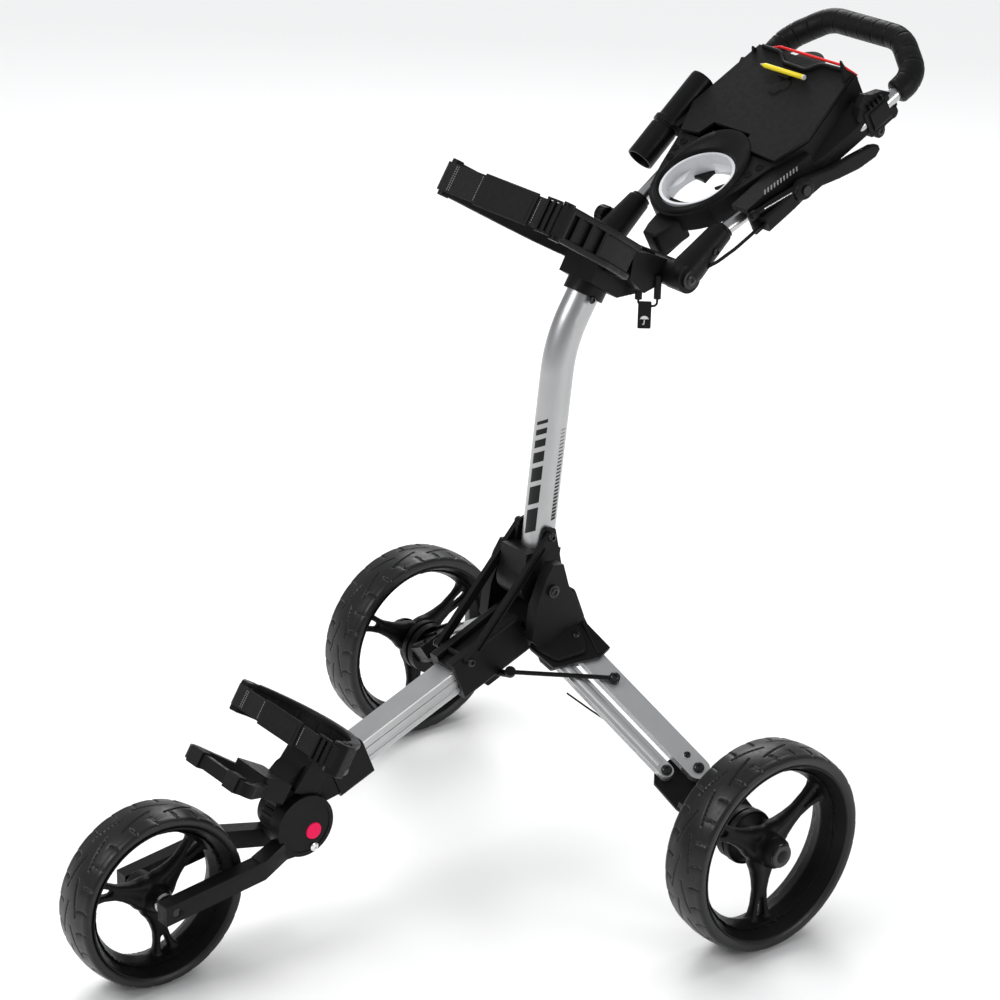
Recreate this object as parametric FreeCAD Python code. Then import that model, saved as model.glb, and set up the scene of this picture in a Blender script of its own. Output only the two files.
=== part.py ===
import FreeCAD
import Part

import math
import os

# A three-wheeled golf push trolley. Millimetres, +Z up, +Y to the rear, +X to the user's left hand
# side when standing in front of it. The shapes are laid out from the middle of the rear axle line on
# the floor, and save() moves them so that the origin is under the middle of the trolley.

V = FreeCAD.Vector

# ---- driving dimensions -----------------------------------------------------------------------
ORIGIN_SHIFT_Y = 164.3      # from the rear axle line to the origin
REAR_R = 146.0              # 11.5 inch rear wheels
FRONT_R = 124.0             # 9.75 inch front wheel
REAR_W = 72.0               # tyre widths
FRONT_W = 70.0
TRACK = 790.0               # between the rear wheels' middle planes
FRONT_AXLE = (-709.0, FRONT_R)
TUBE_SLOPE = 22.0           # front tube, down towards the front
TUBE_REF = (-59.0, 371.0)   # point on the front tube's axis, where its stations start
TUBE_W = 40.0
TUBE_H = 38.0
LEG_DIP = 32.5              # rear legs, down towards the wheels
LEG_PIVOT = (60.0, -59.0, 332.0)
LEG_REACH = 250.0           # between the pivots of a leg bar
SLIM_OFFSET = (-25.4, -36.4)  # slim bar's pivot from the broad bar's, along and across the leg
BAR_T = 14.0
BROAD_W = 32.0
SLIM_W = 20.0
MAST_PIVOT = (-100.0, 420.0)
MAST_R = 22.5
MAST_FOOT = (-84.0, 440.0)
MAST_KNEE = (-51.6, 753.5)
MAST_BEND_R = 195.0
BAG_LEAN = 31.0             # the golf bag's axis leans back by this
FORK_PIVOT = (-491.7, 169.3)
FORK_IN = 40.0              # inner and outer faces of the fork arms beside the wheel
FORK_OUT = 62.0
KNUCKLE_IN = 14.0           # and where they meet the fold joint
KNUCKLE_OUT = 34.0
HANDLE_PIVOT = (85.0, 844.0)
HANDLE_TILT = 29.1
CONSOLE_V = 84.0            # from the handle pivot to the console's own origin, along the handle
CONSOLE_W = 13.0            # and square to it
AXLE_R = 6.0
BEARING_R = 14.0
BEARING_W = 8.0
RUN_FIT = 0.05              # radial clearance of a running fit
GAP = 0.4                   # between faces of different moving bodies
WALL = 2.0

SLOPE = math.radians(TUBE_SLOPE)
DIP = math.radians(LEG_DIP)
LEAN = math.radians(BAG_LEAN)
TILT = math.radians(HANDLE_TILT)

PARTS = {}


# ---- helpers ----------------------------------------------------------------------------------
def save(name, shape):
    """Keep a finished node under its name, so that later pieces can be fitted to it."""
    PARTS[name] = shape


def write_all():
    """Move every node to the part's origin and write its STEP file."""
    os.makedirs("parts", exist_ok=True)
    for name, shape in PARTS.items():
        moved = shape.copy()
        moved.translate(V(0, ORIGIN_SHIFT_Y, 0))
        moved.exportStep("parts/" + name + ".step")


def fuse(*shapes):
    """One solid from overlapping ones, with the seams taken out."""
    if len(shapes) == 1:
        return shapes[0]
    return shapes[0].multiFuse(list(shapes[1:])).removeSplitter()


def group(*shapes):
    """Separate solids in one node."""
    return Part.makeCompound(list(shapes))


def mirror(shape):
    """The same piece on the other side of the trolley."""
    return shape.mirror(V(0, 0, 0), V(1, 0, 0))


def frame(origin, x_axis, z_axis):
    """Placement whose local X and Z point along two square directions."""
    x = V(*x_axis)
    z = V(*z_axis)
    return FreeCAD.Placement(V(*origin), FreeCAD.Rotation(x, z.cross(x), z, "ZXY"))


def put(shape, place):
    """A copy of a shape, carried from local axes into the trolley's."""
    moved = shape.copy()
    moved.Placement = place.multiply(moved.Placement)
    return moved


def box(x0, x1, y0, y1, z0, z1):
    return Part.makeBox(x1 - x0, y1 - y0, z1 - z0, V(x0, y0, z0))


def round_box(x0, x1, y0, y1, z0, z1, radius, along="z"):
    """A box whose edges along one axis are rounded."""
    solid = box(x0, x1, y0, y1, z0, z1)
    index = "xyz".index(along)
    edges = []
    for edge in solid.Edges:
        step = edge.Vertexes[1].Point - edge.Vertexes[0].Point
        if abs(step[index]) > 0.999 * step.Length:
            edges.append(edge)
    return solid.makeFillet(radius, edges)


def disc(x0, x1, y, z, radius):
    """A cylinder along X."""
    return Part.makeCylinder(radius, x1 - x0, V(x0, y, z), V(1, 0, 0))


def ring(x0, x1, y, z, outer, inner):
    return disc(x0, x1, y, z, outer).cut(disc(x0 - 1, x1 + 1, y, z, inner))


def prism(points, z0, z1):
    """A polygon in XY, extruded along Z."""
    corners = [V(x, y, z0) for x, y in points]
    face = Part.Face(Part.makePolygon(corners + [corners[0]]))
    return face.extrude(V(0, 0, z1 - z0))


def side_plate(points, x0, x1):
    """A polygon in YZ, extruded along X."""
    corners = [V(x0, y, z) for y, z in points]
    face = Part.Face(Part.makePolygon(corners + [corners[0]]))
    return face.extrude(V(x1 - x0, 0, 0))


def rod(start, end, radius):
    """A round bar between two points."""
    a = V(*start)
    b = V(*end)
    return Part.makeCylinder(radius, (b - a).Length, a, b - a)


def flat_bar(points, height, x0, x1):
    """A bar of constant height that follows a line in YZ, with round ends and corners."""
    pieces = []
    for (ya, za), (yb, zb) in zip(points, points[1:]):
        length = math.hypot(yb - ya, zb - za)
        ny = -(zb - za) / length * height / 2
        nz = (yb - ya) / length * height / 2
        corners = [(ya + ny, za + nz), (yb + ny, zb + nz), (yb - ny, zb - nz), (ya - ny, za - nz)]
        pieces.append(side_plate(corners, x0, x1))
    for y, z in points:
        pieces.append(disc(x0, x1, y, z, height / 2))
    return fuse(*pieces)


def bent_wire(points, radii):
    """Straight runs joined by tangent arcs, one radius for each inner point."""
    pts = [V(*p) for p in points]
    edges = []
    last = pts[0]
    for i, radius in enumerate(radii):
        corner = pts[i + 1]
        back = (pts[i] - corner).normalize()
        ahead = (pts[i + 2] - corner).normalize()
        half = back.getAngle(ahead) / 2
        run = radius / math.tan(half)
        into = corner + back * run
        out = corner + ahead * run
        middle = (back + ahead).normalize()
        top = corner + middle * (radius / math.sin(half) - radius)
        if (into - last).Length > 0.01:
            edges.append(Part.LineSegment(last, into).toShape())
        edges.append(Part.Arc(into, top, out).toShape())
        last = out
    edges.append(Part.LineSegment(last, pts[-1]).toShape())
    return Part.Wire(edges)


def pipe(wire, radius):
    """A solid round section swept along a wire."""
    start = wire.Edges[0]
    point = start.valueAt(start.FirstParameter)
    heading = start.tangentAt(start.FirstParameter)
    circle = Part.Wire([Part.Circle(point, heading, radius).toShape()])
    return wire.makePipeShell([circle], True, True)


def bent_tube(points, radii, radius):
    return pipe(bent_wire(points, radii), radius)


# ---- local axes -------------------------------------------------------------------------------
FORWARD = (0, -math.cos(SLOPE), -math.sin(SLOPE))
TUBE_UP = (0, -math.sin(SLOPE), math.cos(SLOPE))
# Stations along the front tube: local X forward along the tube, Z square to it and upwards. The
# local Y is then across the trolley, towards -X.
TUBE_FRAME = frame((0,) + TUBE_REF, FORWARD, TUBE_UP)
LEG_ALONG = (math.cos(DIP), math.sin(DIP) * math.sin(SLOPE), -math.sin(DIP) * math.cos(SLOPE))
LEG_NORMAL = (math.sin(DIP), -math.cos(DIP) * math.sin(SLOPE), math.cos(DIP) * math.cos(SLOPE))
LEG_FRAME = frame(LEG_PIVOT, LEG_ALONG, LEG_NORMAL)
# The bag's axes: local X across, Z up along the bag, Y from the tips of the cradle to its back.
BAG_UP = (0, math.sin(LEAN), math.cos(LEAN))
BAG_FRAME = frame((0, 0, 0), (1, 0, 0), BAG_UP)
HANDLE_UP = (0, -math.sin(TILT), math.cos(TILT))
HANDLE_FRAME = frame((0,) + HANDLE_PIVOT, (1, 0, 0), HANDLE_UP)
CONSOLE_FRAME = HANDLE_FRAME.multiply(FreeCAD.Placement(V(0, CONSOLE_V, CONSOLE_W), FreeCAD.Rotation()))


def tube_point(station, across, up):
    return TUBE_FRAME.multVec(V(station, -across, up))


# ---- wheels -----------------------------------------------------------------------------------
RIM_DEEP = 19.0             # from the tyre's seat down to the rim's inner ridge


def tyre(radius, width, bore):
    """A solid rubber tyre: crowned tread, round shoulders, straight side walls. Axis along X."""
    half = width / 2
    shoulder = 0.42 * (radius - bore)
    profile = [V(-half, 0, bore), V(-half, 0, radius - shoulder)]
    crown_edge = 0.72 * half
    drop = 3.0
    edges = [Part.LineSegment(*profile).toShape()]
    knee = V(-half * 0.93, 0, radius - drop - 0.35 * shoulder)
    edges.append(Part.Arc(profile[1], knee, V(-crown_edge, 0, radius - drop)).toShape())
    edges.append(Part.Arc(V(-crown_edge, 0, radius - drop), V(0, 0, radius),
                          V(crown_edge, 0, radius - drop)).toShape())
    knee = V(half * 0.93, 0, radius - drop - 0.35 * shoulder)
    edges.append(Part.Arc(V(crown_edge, 0, radius - drop), knee,
                          V(half, 0, radius - shoulder)).toShape())
    edges.append(Part.LineSegment(V(half, 0, radius - shoulder), V(half, 0, bore)).toShape())
    edges.append(Part.LineSegment(V(half, 0, bore), V(-half, 0, bore)).toShape())
    return Part.Face(Part.Wire(edges)).revolve(V(0, 0, 0), V(1, 0, 0), 360)


def spoke(inner, outer):
    """One spoke along +Z: wide at the hub, narrow half way, with an oval slot near the rim."""
    half = [(20, inner - 6), (11, inner + 14), (8.5, inner + 34), (12, outer + 4)]
    outline = half + [(-y, z) for y, z in reversed(half)]
    slot = round_box(-20, 20, -4, 4, outer - 32, outer - 8, 3.9, "x")
    return side_plate(outline, -8, 8).cut(slot)


def rim_band(radius, half):
    """The rim's ring: deepest in the middle, flaring to both edges, with a channel under the tyre."""
    flare = half - 8
    right = [(half, radius), (half, radius - 4), (flare, radius - 5), (6, radius - RIM_DEEP)]
    left = [(-x, r) for x, r in reversed(right)]
    channel = [(-flare, radius), (-5, radius - RIM_DEEP + 5), (5, radius - RIM_DEEP + 5), (flare, radius)]
    corners = [V(x, 0, r) for x, r in right + left + channel]
    face = Part.Face(Part.makePolygon(corners + [corners[0]]))
    return face.revolve(V(0, 0, 0), V(1, 0, 0), 360)


def rim(radius, width, hub_r, hub_half, first_angle):
    """Ring, three spokes and a hub that is bored for two ball bearings. Axis along X."""
    spokes = []
    for turn in range(3):
        arm = spoke(hub_r, radius - RIM_DEEP)
        arm.rotate(V(0, 0, 0), V(1, 0, 0), first_angle + 120 * turn)
        spokes.append(arm)
    hub = disc(-hub_half, hub_half, 0, 0, hub_r)
    shape = fuse(rim_band(radius, width / 2 - 3), hub, *spokes)
    shape = shape.cut(disc(-hub_half - 1, hub_half + 1, 0, 0, AXLE_R + 2))
    for side in (-1, 1):
        start = min(side * (hub_half - BEARING_W - 2), side * (hub_half + 1))
        shape = shape.cut(disc(start, start + BEARING_W + 3, 0, 0, BEARING_R + 0.02))
    return shape


def bearings(hub_half):
    """Two ball bearings near the ends of a hub, each with its rubber shield's step."""
    pair = []
    for side in (-1, 1):
        start = min(side * (hub_half - 2), side * (hub_half - 2 - BEARING_W))
        body = ring(start, start + BEARING_W, 0, 0, BEARING_R, AXLE_R + RUN_FIT)
        for face in (start - 0.1, start + BEARING_W - 0.7):
            body = body.cut(ring(face, face + 0.8, 0, 0, 11.5, 8.5))
        pair.append(body)
    return group(*pair)


REAR_BORE = 127.0
FRONT_BORE = 107.0
REAR_HUB_R = 24.0
FRONT_HUB_R = 21.0
REAR_HUB_HALF = 33.0
FRONT_HUB_HALF = 37.0
BRAKE_RING_R = 31.0


def rear_rim():
    """The rear rim also has a ring of twelve holes on its inner face for the brake pin."""
    base = rim(REAR_BORE, REAR_W, REAR_HUB_R, REAR_HUB_HALF, 0)
    flange = ring(-REAR_HUB_HALF, -REAR_HUB_HALF + 9, 0, 0, 39, BEARING_R + 0.02)
    cone = Part.makeCone(39, REAR_HUB_R, 18, V(-REAR_HUB_HALF + 9, 0, 0), V(1, 0, 0))
    base = fuse(base, flange, cone)
    base = base.cut(disc(-REAR_HUB_HALF - 1, REAR_HUB_HALF + 1, 0, 0, AXLE_R + 2))
    base = base.cut(disc(-REAR_HUB_HALF - 1, -REAR_HUB_HALF + BEARING_W + 2, 0, 0, BEARING_R + 0.02))
    for turn in range(12):
        angle = math.radians(30 * turn)
        hole = disc(-REAR_HUB_HALF - 1, -REAR_HUB_HALF + 8, BRAKE_RING_R * math.cos(angle),
                    BRAKE_RING_R * math.sin(angle), 4.5)
        base = base.cut(hole)
    return base


def make_wheels():
    centre = V(TRACK / 2, 0, REAR_R)
    pieces = {
        "rear_tyre": tyre(REAR_R, REAR_W, REAR_BORE + 0.02),
        "rear_rim": rear_rim(),
        "rear_bearings": bearings(REAR_HUB_HALF),
    }
    pieces["rear_rim"].rotate(V(0, 0, 0), V(1, 0, 0), -60)
    for name, shape in pieces.items():
        shape.translate(centre)
        save(name + "_left", shape)
        save(name + "_right", mirror(shape))
    hub = V(0, FRONT_AXLE[0], FRONT_AXLE[1])
    pieces = {
        "front_tyre": tyre(FRONT_R, FRONT_W, FRONT_BORE + 0.02),
        "front_rim": rim(FRONT_BORE, FRONT_W, FRONT_HUB_R, FRONT_HUB_HALF, -50),
        "front_bearings": bearings(FRONT_HUB_HALF),
    }
    for name, shape in pieces.items():
        shape.translate(hub)
        save(name, shape)


# ---- front fork -------------------------------------------------------------------------------
FORK_BEND = (-573.0, 141.0)
FORK_H = 27.0
FORK_TIP = -725.0
FORK_RISE = 0.125           # of the arms beside the wheel, per unit of length
FORK_DISC_R = 44.0          # the near side's disc, with the button
FORK_EYE_R = 30.0           # the far side's
BUTTON = (-478.5, 158.3, 12.0)
BUTTON_TRAVEL = 4.0
PIN_R = 6.0


def fork_arm(disc_r):
    """A flat bar beside the wheel that turns in towards the fold joint and ends in a disc."""
    y, z = FORK_BEND
    half = FORK_H / 2
    tip_z = z + FORK_RISE * (FORK_TIP - y)
    outline = [(FORK_TIP, tip_z - half), (y, z - half), (y, z + half), (FORK_TIP, tip_z + half)]
    bar = side_plate(outline, FORK_IN, FORK_OUT)
    turn = [(FORK_OUT, y), (KNUCKLE_OUT, y + 52), (KNUCKLE_OUT, y + 74), (KNUCKLE_IN, y + 74),
            (KNUCKLE_IN, y + 46), (FORK_IN, y - 8), (FORK_OUT, y - 8)]
    joint = prism(turn, z - half, z + half)
    knuckle = disc(KNUCKLE_IN, KNUCKLE_OUT + 2, *FORK_PIVOT, disc_r)
    dish = disc(KNUCKLE_OUT + 1, KNUCKLE_OUT + 3, *FORK_PIVOT, disc_r - 6)
    arm = fuse(bar, joint, knuckle).cut(dish)
    arm = arm.cut(disc(FORK_IN - 1, FORK_OUT + 3, *FRONT_AXLE, AXLE_R + 0.02))
    return arm.cut(disc(KNUCKLE_IN - 1, KNUCKLE_OUT - 8, *FORK_PIVOT, PIN_R + RUN_FIT))


def make_fork():
    save("fork_arm_right", mirror(fork_arm(FORK_EYE_R)))
    y, z, radius = BUTTON
    well = disc(KNUCKLE_OUT - 10, KNUCKLE_OUT + 3, y, z, radius + GAP)
    spring_well = disc(KNUCKLE_OUT - 18, KNUCKLE_OUT - 9, y, z, 5)
    save("fork_arm_left", fork_arm(FORK_DISC_R).cut(well).cut(spring_well))
    face = KNUCKLE_OUT + 2
    cap = disc(face - 7, face, y, z, radius)
    rim_edge = [e for e in cap.Edges if abs(e.BoundBox.XMin - face) < 0.01 and e.BoundBox.YLength > 5]
    save("fold_button", cap.makeFillet(1.5, rim_edge))
    coils = []
    for turn in range(4):
        x = KNUCKLE_OUT - 16.5 + 2.1 * turn
        coils.append(Part.makeTorus(3.6, 0.7, V(x, y, z), V(1, 0, 0)))
    save("button_spring", group(*coils))
    axle = disc(-FORK_OUT + 1, FORK_OUT - 1, *FRONT_AXLE, AXLE_R)
    save("front_axle", axle)


# ---- front tube, bracket, lower cradle --------------------------------------------------------
TUBE_START = -12.0
TUBE_END = 372.0
BRACKET_START = 352.0


def make_front_tube():
    """An aluminium extrusion: rectangular, hollow, with a groove along each side."""
    half_w = TUBE_W / 2
    half_h = TUBE_H / 2
    outer = round_box(TUBE_START, TUBE_END, -half_w, half_w, -half_h, half_h, 4, "x")
    bore_w = half_w - 4.5
    bore_h = half_h - 2.5
    inner = round_box(TUBE_START - 1, TUBE_END + 1, -bore_w, bore_w, -bore_h, bore_h, 3, "x")
    tube = outer.cut(inner)
    for side in (-1, 1):
        y0 = side * (half_w - 2)
        y1 = side * (half_w + 1)
        tube = tube.cut(box(TUBE_START - 1, TUBE_END + 1, min(y0, y1), max(y0, y1), -9.5, -3.5))
        tube = tube.cut(box(TUBE_START - 1, TUBE_END + 1, min(y0, y1), max(y0, y1), 4.5, 6.0))
    save("front_tube", put(tube, TUBE_FRAME))


def make_front_bracket():
    """The nose casting: a collar on the tube, a drum between the fork's discs, a cradle seat."""
    half = KNUCKLE_IN - GAP
    collar = round_box(BRACKET_START, 410, -30, 30, -29, 29, 6, "x")
    neck = prism([(396, -30), (396, 30), (456, half), (456, -half)], -24, 22)
    body = put(fuse(collar, neck), TUBE_FRAME)
    seat = side_plate([(-476, 205), (-424, 262), (-462, 276), (-506, 222)], -30, 30)
    outline = [(-470, 190), (-430, 232), (-452, 262), (-500, 246), (-528, 222), (-530, 204), (-500, 190)]
    post = side_plate(outline, -22, 22)
    body = fuse(body, seat, post)
    sweep = disc(half, 90, *FORK_PIVOT, FORK_DISC_R + 1)
    body = body.cut(sweep).cut(mirror(sweep))
    body = fuse(body, disc(-half, half, *FORK_PIVOT, 41))
    for step in range(7):
        angle = math.radians(108 + 12 * step)
        y = FORK_PIVOT[0] + 42 * math.cos(angle)
        z = FORK_PIVOT[1] + 42 * math.sin(angle)
        body = body.cut(disc(-half - 1, half + 1, y, z, 2.4))
    pocket = box(BRACKET_START - 1, TUBE_END + GAP, -TUBE_W / 2, TUBE_W / 2, -TUBE_H / 2, TUBE_H / 2)
    body = body.cut(put(pocket, TUBE_FRAME))
    body = body.cut(disc(-half - 1, half + 1, *FORK_PIVOT, PIN_R + 0.02))
    save("front_bracket", max(body.Solids, key=lambda solid: solid.Volume))


def arc_band(radius, centre_y, half_angle, thick, z0, z1):
    """A curved band in the bag's axes, its back at the largest Y."""
    outer = Part.makeCylinder(radius + thick, z1 - z0, V(0, centre_y, z0))
    inner = Part.makeCylinder(radius, z1 - z0 + 2, V(0, centre_y, z0 - 1))
    reach = radius + thick + 60
    a = math.radians(half_angle)
    x = reach * math.sin(a)
    y = centre_y + reach * math.cos(a)
    wedge = prism([(0, centre_y), (x, y), (0, centre_y + 2 * reach), (-x, y)], z0, z1)
    return outer.cut(inner).common(wedge)


LOWER_Z = (-16.0, 28.0)
LOWER_CENTRE = -612.0
LOWER_R = 108.0
LOWER_HALF = 71.0


def make_lower_cradle():
    """A shallow saddle that wraps round the front of the bag's foot, with a boss at each tip."""
    saddle = arc_band(LOWER_R, LOWER_CENTRE, LOWER_HALF, 9, *LOWER_Z)
    angle = math.radians(LOWER_HALF)
    tips = []
    for side in (-1, 1):
        x = side * (LOWER_R + 6) * math.sin(angle)
        y = LOWER_CENTRE + (LOWER_R + 6) * math.cos(angle) - 8
        tips.append(Part.makeCylinder(7, LOWER_Z[1] - LOWER_Z[0] + 6, V(x, y, LOWER_Z[0] - 3)))
    foot = box(-26, 26, -505, -468, LOWER_Z[0] - 4, LOWER_Z[1] - 14)
    foot = foot.cut(Part.makeCylinder(LOWER_R + 4, 80, V(0, LOWER_CENTRE, -40)))
    cradle = put(fuse(saddle, foot, *tips), BAG_FRAME)
    cradle = cradle.cut(PARTS["front_bracket"]).cut(PARTS["front_tube"])
    save("lower_cradle", max(cradle.Solids, key=lambda solid: solid.Volume))


def strap_loop(x, y, bore, z0, z1):
    """The strap's end, wrapped round the boss at a cradle's tip."""
    outer = Part.makeCylinder(bore + 3, z1 - z0, V(x, y, z0))
    return outer.cut(Part.makeCylinder(bore, z1 - z0 + 2, V(x, y, z0 - 1)))


def make_lower_strap():
    angle = math.radians(LOWER_HALF)
    x = (LOWER_R + 6) * math.sin(angle)
    y = LOWER_CENTRE + (LOWER_R + 6) * math.cos(angle) - 8
    z0, z1 = LOWER_Z[0] + 7, LOWER_Z[1] - 7
    band = box(-x, x, y - 10.4, y - 7.6, z0, z1)
    loops = [strap_loop(side * x, y, 7.3, z0, z1) for side in (-1, 1)]
    save("lower_strap", put(fuse(band, *loops), BAG_FRAME).cut(PARTS["lower_cradle"]))


LOOP_Z = (-87.0, -69.0)
LOOP_Y = (-662.0, -604.0)   # middle lines of the loop's front and rear bars
LOOP_X = (76.0, 34.0)       # half widths there
LOOP_T = 10.0


def rounded_slab(points, radius, z0, z1):
    """A polygon in XY, extruded along Z, with its upright edges rounded."""
    slab = prism(points, z0, z1)
    uprights = [e for e in slab.Edges if e.BoundBox.ZLength > z1 - z0 - 0.1]
    return slab.makeFillet(radius, uprights)


def loop_corners(grow):
    """The loop's middle line, moved outwards by grow."""
    run = LOOP_Y[1] - LOOP_Y[0]
    taper = (LOOP_X[0] - LOOP_X[1]) / run
    shift = grow * math.hypot(1, taper)
    y0, y1 = LOOP_Y[0] - grow, LOOP_Y[1] + grow
    x0 = LOOP_X[0] + taper * grow + shift
    x1 = LOOP_X[1] - taper * grow + shift
    return [(x0, y0), (x1, y1), (-x1, y1), (-x0, y0)]


def make_base_loop():
    """The bag's foot rests on this loop. Two rubber pads are wrapped round its front bar."""
    z0, z1 = LOOP_Z
    half = LOOP_T / 2
    outer = rounded_slab(loop_corners(half), 14, z0, z1)
    inner = rounded_slab(loop_corners(-half), 5, z0 - 1, z1 + 1)
    block = round_box(-36, 36, LOOP_Y[1] - half, -560, z0 - 2, z1 + 8, 5, "z")
    stem = box(-KNUCKLE_IN + 1, KNUCKLE_IN - 1, -565, -516, z0, z1 + 6)
    loop = put(fuse(outer.cut(inner), block, stem), BAG_FRAME)
    loop = loop.cut(PARTS["front_bracket"])
    save("base_loop", max(loop.Solids, key=lambda solid: solid.Volume))
    skin = 2.5
    seat = half + 0.02
    y = LOOP_Y[0]
    pad = box(30, 56, y - half - skin, y + half + skin, z0 - skin, z1 + skin)
    pad = pad.cut(box(29, 57, y - seat, y + seat, z0 - 0.02, z1 + 0.02))
    save("base_pads", put(group(pad, mirror(pad)), BAG_FRAME))


# ---- hub: core, side shells and pivot pins ----------------------------------------------------
CORE_X = 41.5
SHELL_X = (42.0, 60.0)
CORE_TOP = 23.0
BAR_CLEAR = BAR_T / 2 + 1.0
COVER_T = 7.0
WING = [(-62, -64), (16, -55), (44, 6), (42, 27), (-24, 27), (-62, -6)]
WING_UNDER = [(-44, -55), (8, -50), (38, 6), (36, 27), (-24, 27), (-44, -10)]
CHEEK = [(-112, 440), (-100, 458), (-82, 455), (-72, 422), (-30, 342), (-110, 330), (-134, 352), (-128, 400)]


def bar_slot():
    """The room that the leg bars need between the hub's covers, in the leg's axes."""
    outline = [(-38, -50), (-10, -120), (120, -120), (120, 19), (-20, 19), (-38, -22)]
    return put(prism(outline, -BAR_CLEAR, BAR_CLEAR), LEG_FRAME)


def tube_room(start, end, play):
    half_w = TUBE_W / 2 + play
    half_h = TUBE_H / 2 + play
    return put(box(start, end, -half_w, half_w, -half_h, half_h), TUBE_FRAME)


def leg_pins(extra):
    """The two pivots of a leg's bars, in the leg's axes."""
    reach = BAR_CLEAR + COVER_T + 2
    pins = []
    for s, q in ((0, 0), SLIM_OFFSET):
        pins.append(put(Part.makeCylinder(4 + extra, 2 * reach, V(s, q, -reach)), LEG_FRAME))
    return pins


def make_hub():
    core = put(round_box(-24, 62, -CORE_X, CORE_X, -29, CORE_TOP, 5, "x"), TUBE_FRAME)
    slot = bar_slot()
    core = core.cut(slot).cut(mirror(slot)).cut(tube_room(-40, 90, 0.02))
    wing = put(prism(WING, BAR_CLEAR, BAR_CLEAR + COVER_T), LEG_FRAME)
    under = put(prism(WING_UNDER, -BAR_CLEAR - COVER_T, -BAR_CLEAR), LEG_FRAME)
    back = put(prism([(-24, 20), (40, 20), (36, 27), (-24, 27)], -BAR_CLEAR - 1, BAR_CLEAR + 1), LEG_FRAME)
    cheek = side_plate(CHEEK, *SHELL_X)
    shell = fuse(wing, under, back, cheek).cut(slot)
    shell = shell.cut(box(-200, SHELL_X[0], -300, 100, 200, 500))
    pins = leg_pins(0)
    for pin in leg_pins(0.02):
        shell = shell.cut(pin)
        core = core.cut(pin).cut(mirror(pin))
    shell = shell.cut(disc(0, 80, *MAST_PIVOT, PIN_R + 0.02))
    shell = max(shell.Solids, key=lambda solid: solid.Volume)
    core = max(core.Solids, key=lambda solid: solid.Volume)
    save("hub_core", core)
    save("hub_shell_left", shell)
    save("hub_shell_right", mirror(shell))
    mast_pin = fuse(disc(-SHELL_X[1], SHELL_X[1], *MAST_PIVOT, PIN_R),
                    disc(SHELL_X[1] + 0.02, SHELL_X[1] + 4, *MAST_PIVOT, 9),
                    disc(SHELL_X[1] - 1, SHELL_X[1] + 1, *MAST_PIVOT, 5),
                    disc(-SHELL_X[1] - 4, -SHELL_X[1] - 0.02, *MAST_PIVOT, 9),
                    disc(-SHELL_X[1] - 1, -SHELL_X[1] + 1, *MAST_PIVOT, 5))
    fork_pin = disc(-KNUCKLE_OUT + 9, KNUCKLE_OUT - 9, *FORK_PIVOT, PIN_R)
    save("frame_fasteners", group(mast_pin, fork_pin, *pins, *[mirror(pin) for pin in pins]))


# ---- rear legs --------------------------------------------------------------------------------
LINK_BALL = (80.0, 0.0, 14.0)


def leg_bar(width, start, groove_side):
    """A solid aluminium bar with round ends, bored at both pivots, grooved on its edges and top."""
    s, q = start
    half = width / 2
    bar = box(s, s + LEG_REACH, q - half, q + half, -BAR_T / 2, BAR_T / 2)
    ends = [Part.makeCylinder(half, BAR_T, V(s + x, q, -BAR_T / 2)) for x in (0, LEG_REACH)]
    bar = fuse(bar, *ends)
    for side in groove_side:
        edge = q + side * half
        for z in (-3.4, 1.4):
            bar = bar.cut(box(s + half, s + LEG_REACH - half, edge - 1, edge + 1, z, z + 2))
    for x in (0, LEG_REACH):
        bar = bar.cut(Part.makeCylinder(4 + RUN_FIT, BAR_T + 2, V(s + x, q, -BAR_T / 2 - 1)))
    return bar


def wheel_bracket():
    """The casting at the leg's outer end: a plate under the bars, then a block out to the wheel."""
    outline = [(212, -44), (224, -56), (270, -58), (350, -44), (352, 14), (300, 20), (240, 17), (212, -16)]
    plate = prism(outline, -BAR_CLEAR - 6, -BAR_CLEAR)
    block = prism([(270, -57), (350, -44), (352, 14), (300, 20), (270, 19)], -BAR_CLEAR - 1, BAR_CLEAR + 4)
    ribs = [prism([(286, q - 2), (344, q - 2), (344, q + 2), (286, q + 2)], -BAR_CLEAR - 9, BAR_CLEAR + 8)
            for q in (-40, -18, 4)]
    body = put(fuse(plate, block, *ribs), LEG_FRAME)
    face_x = TRACK / 2 - REAR_HUB_HALF - 4
    backplate = disc(face_x - 12, face_x, 0, REAR_R, 38)
    boss = disc(face_x - 40, face_x - 4, 0, REAR_R, 20)
    pin_boss = disc(face_x - 26, face_x - 2, BRAKE_RING_R, REAR_R, 7)
    body = fuse(body, backplate, boss, pin_boss).cut(box(face_x, face_x + 200, -200, 200, 0, 400))
    for s, q in ((0, 0), SLIM_OFFSET):
        pin = Part.makeCylinder(4, BAR_T + 4, V(s + LEG_REACH, q, -BAR_CLEAR - 1))
        head = Part.makeCylinder(7.5, 3, V(s + LEG_REACH, q, BAR_T / 2 + GAP))
        body = fuse(body, put(pin, LEG_FRAME), put(head, LEG_FRAME))
    body = body.cut(disc(face_x - 60, face_x + 1, 0, REAR_R, AXLE_R + 0.02))
    return body.cut(disc(face_x - 30, face_x + 1, BRAKE_RING_R, REAR_R, 3 + RUN_FIT))


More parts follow.
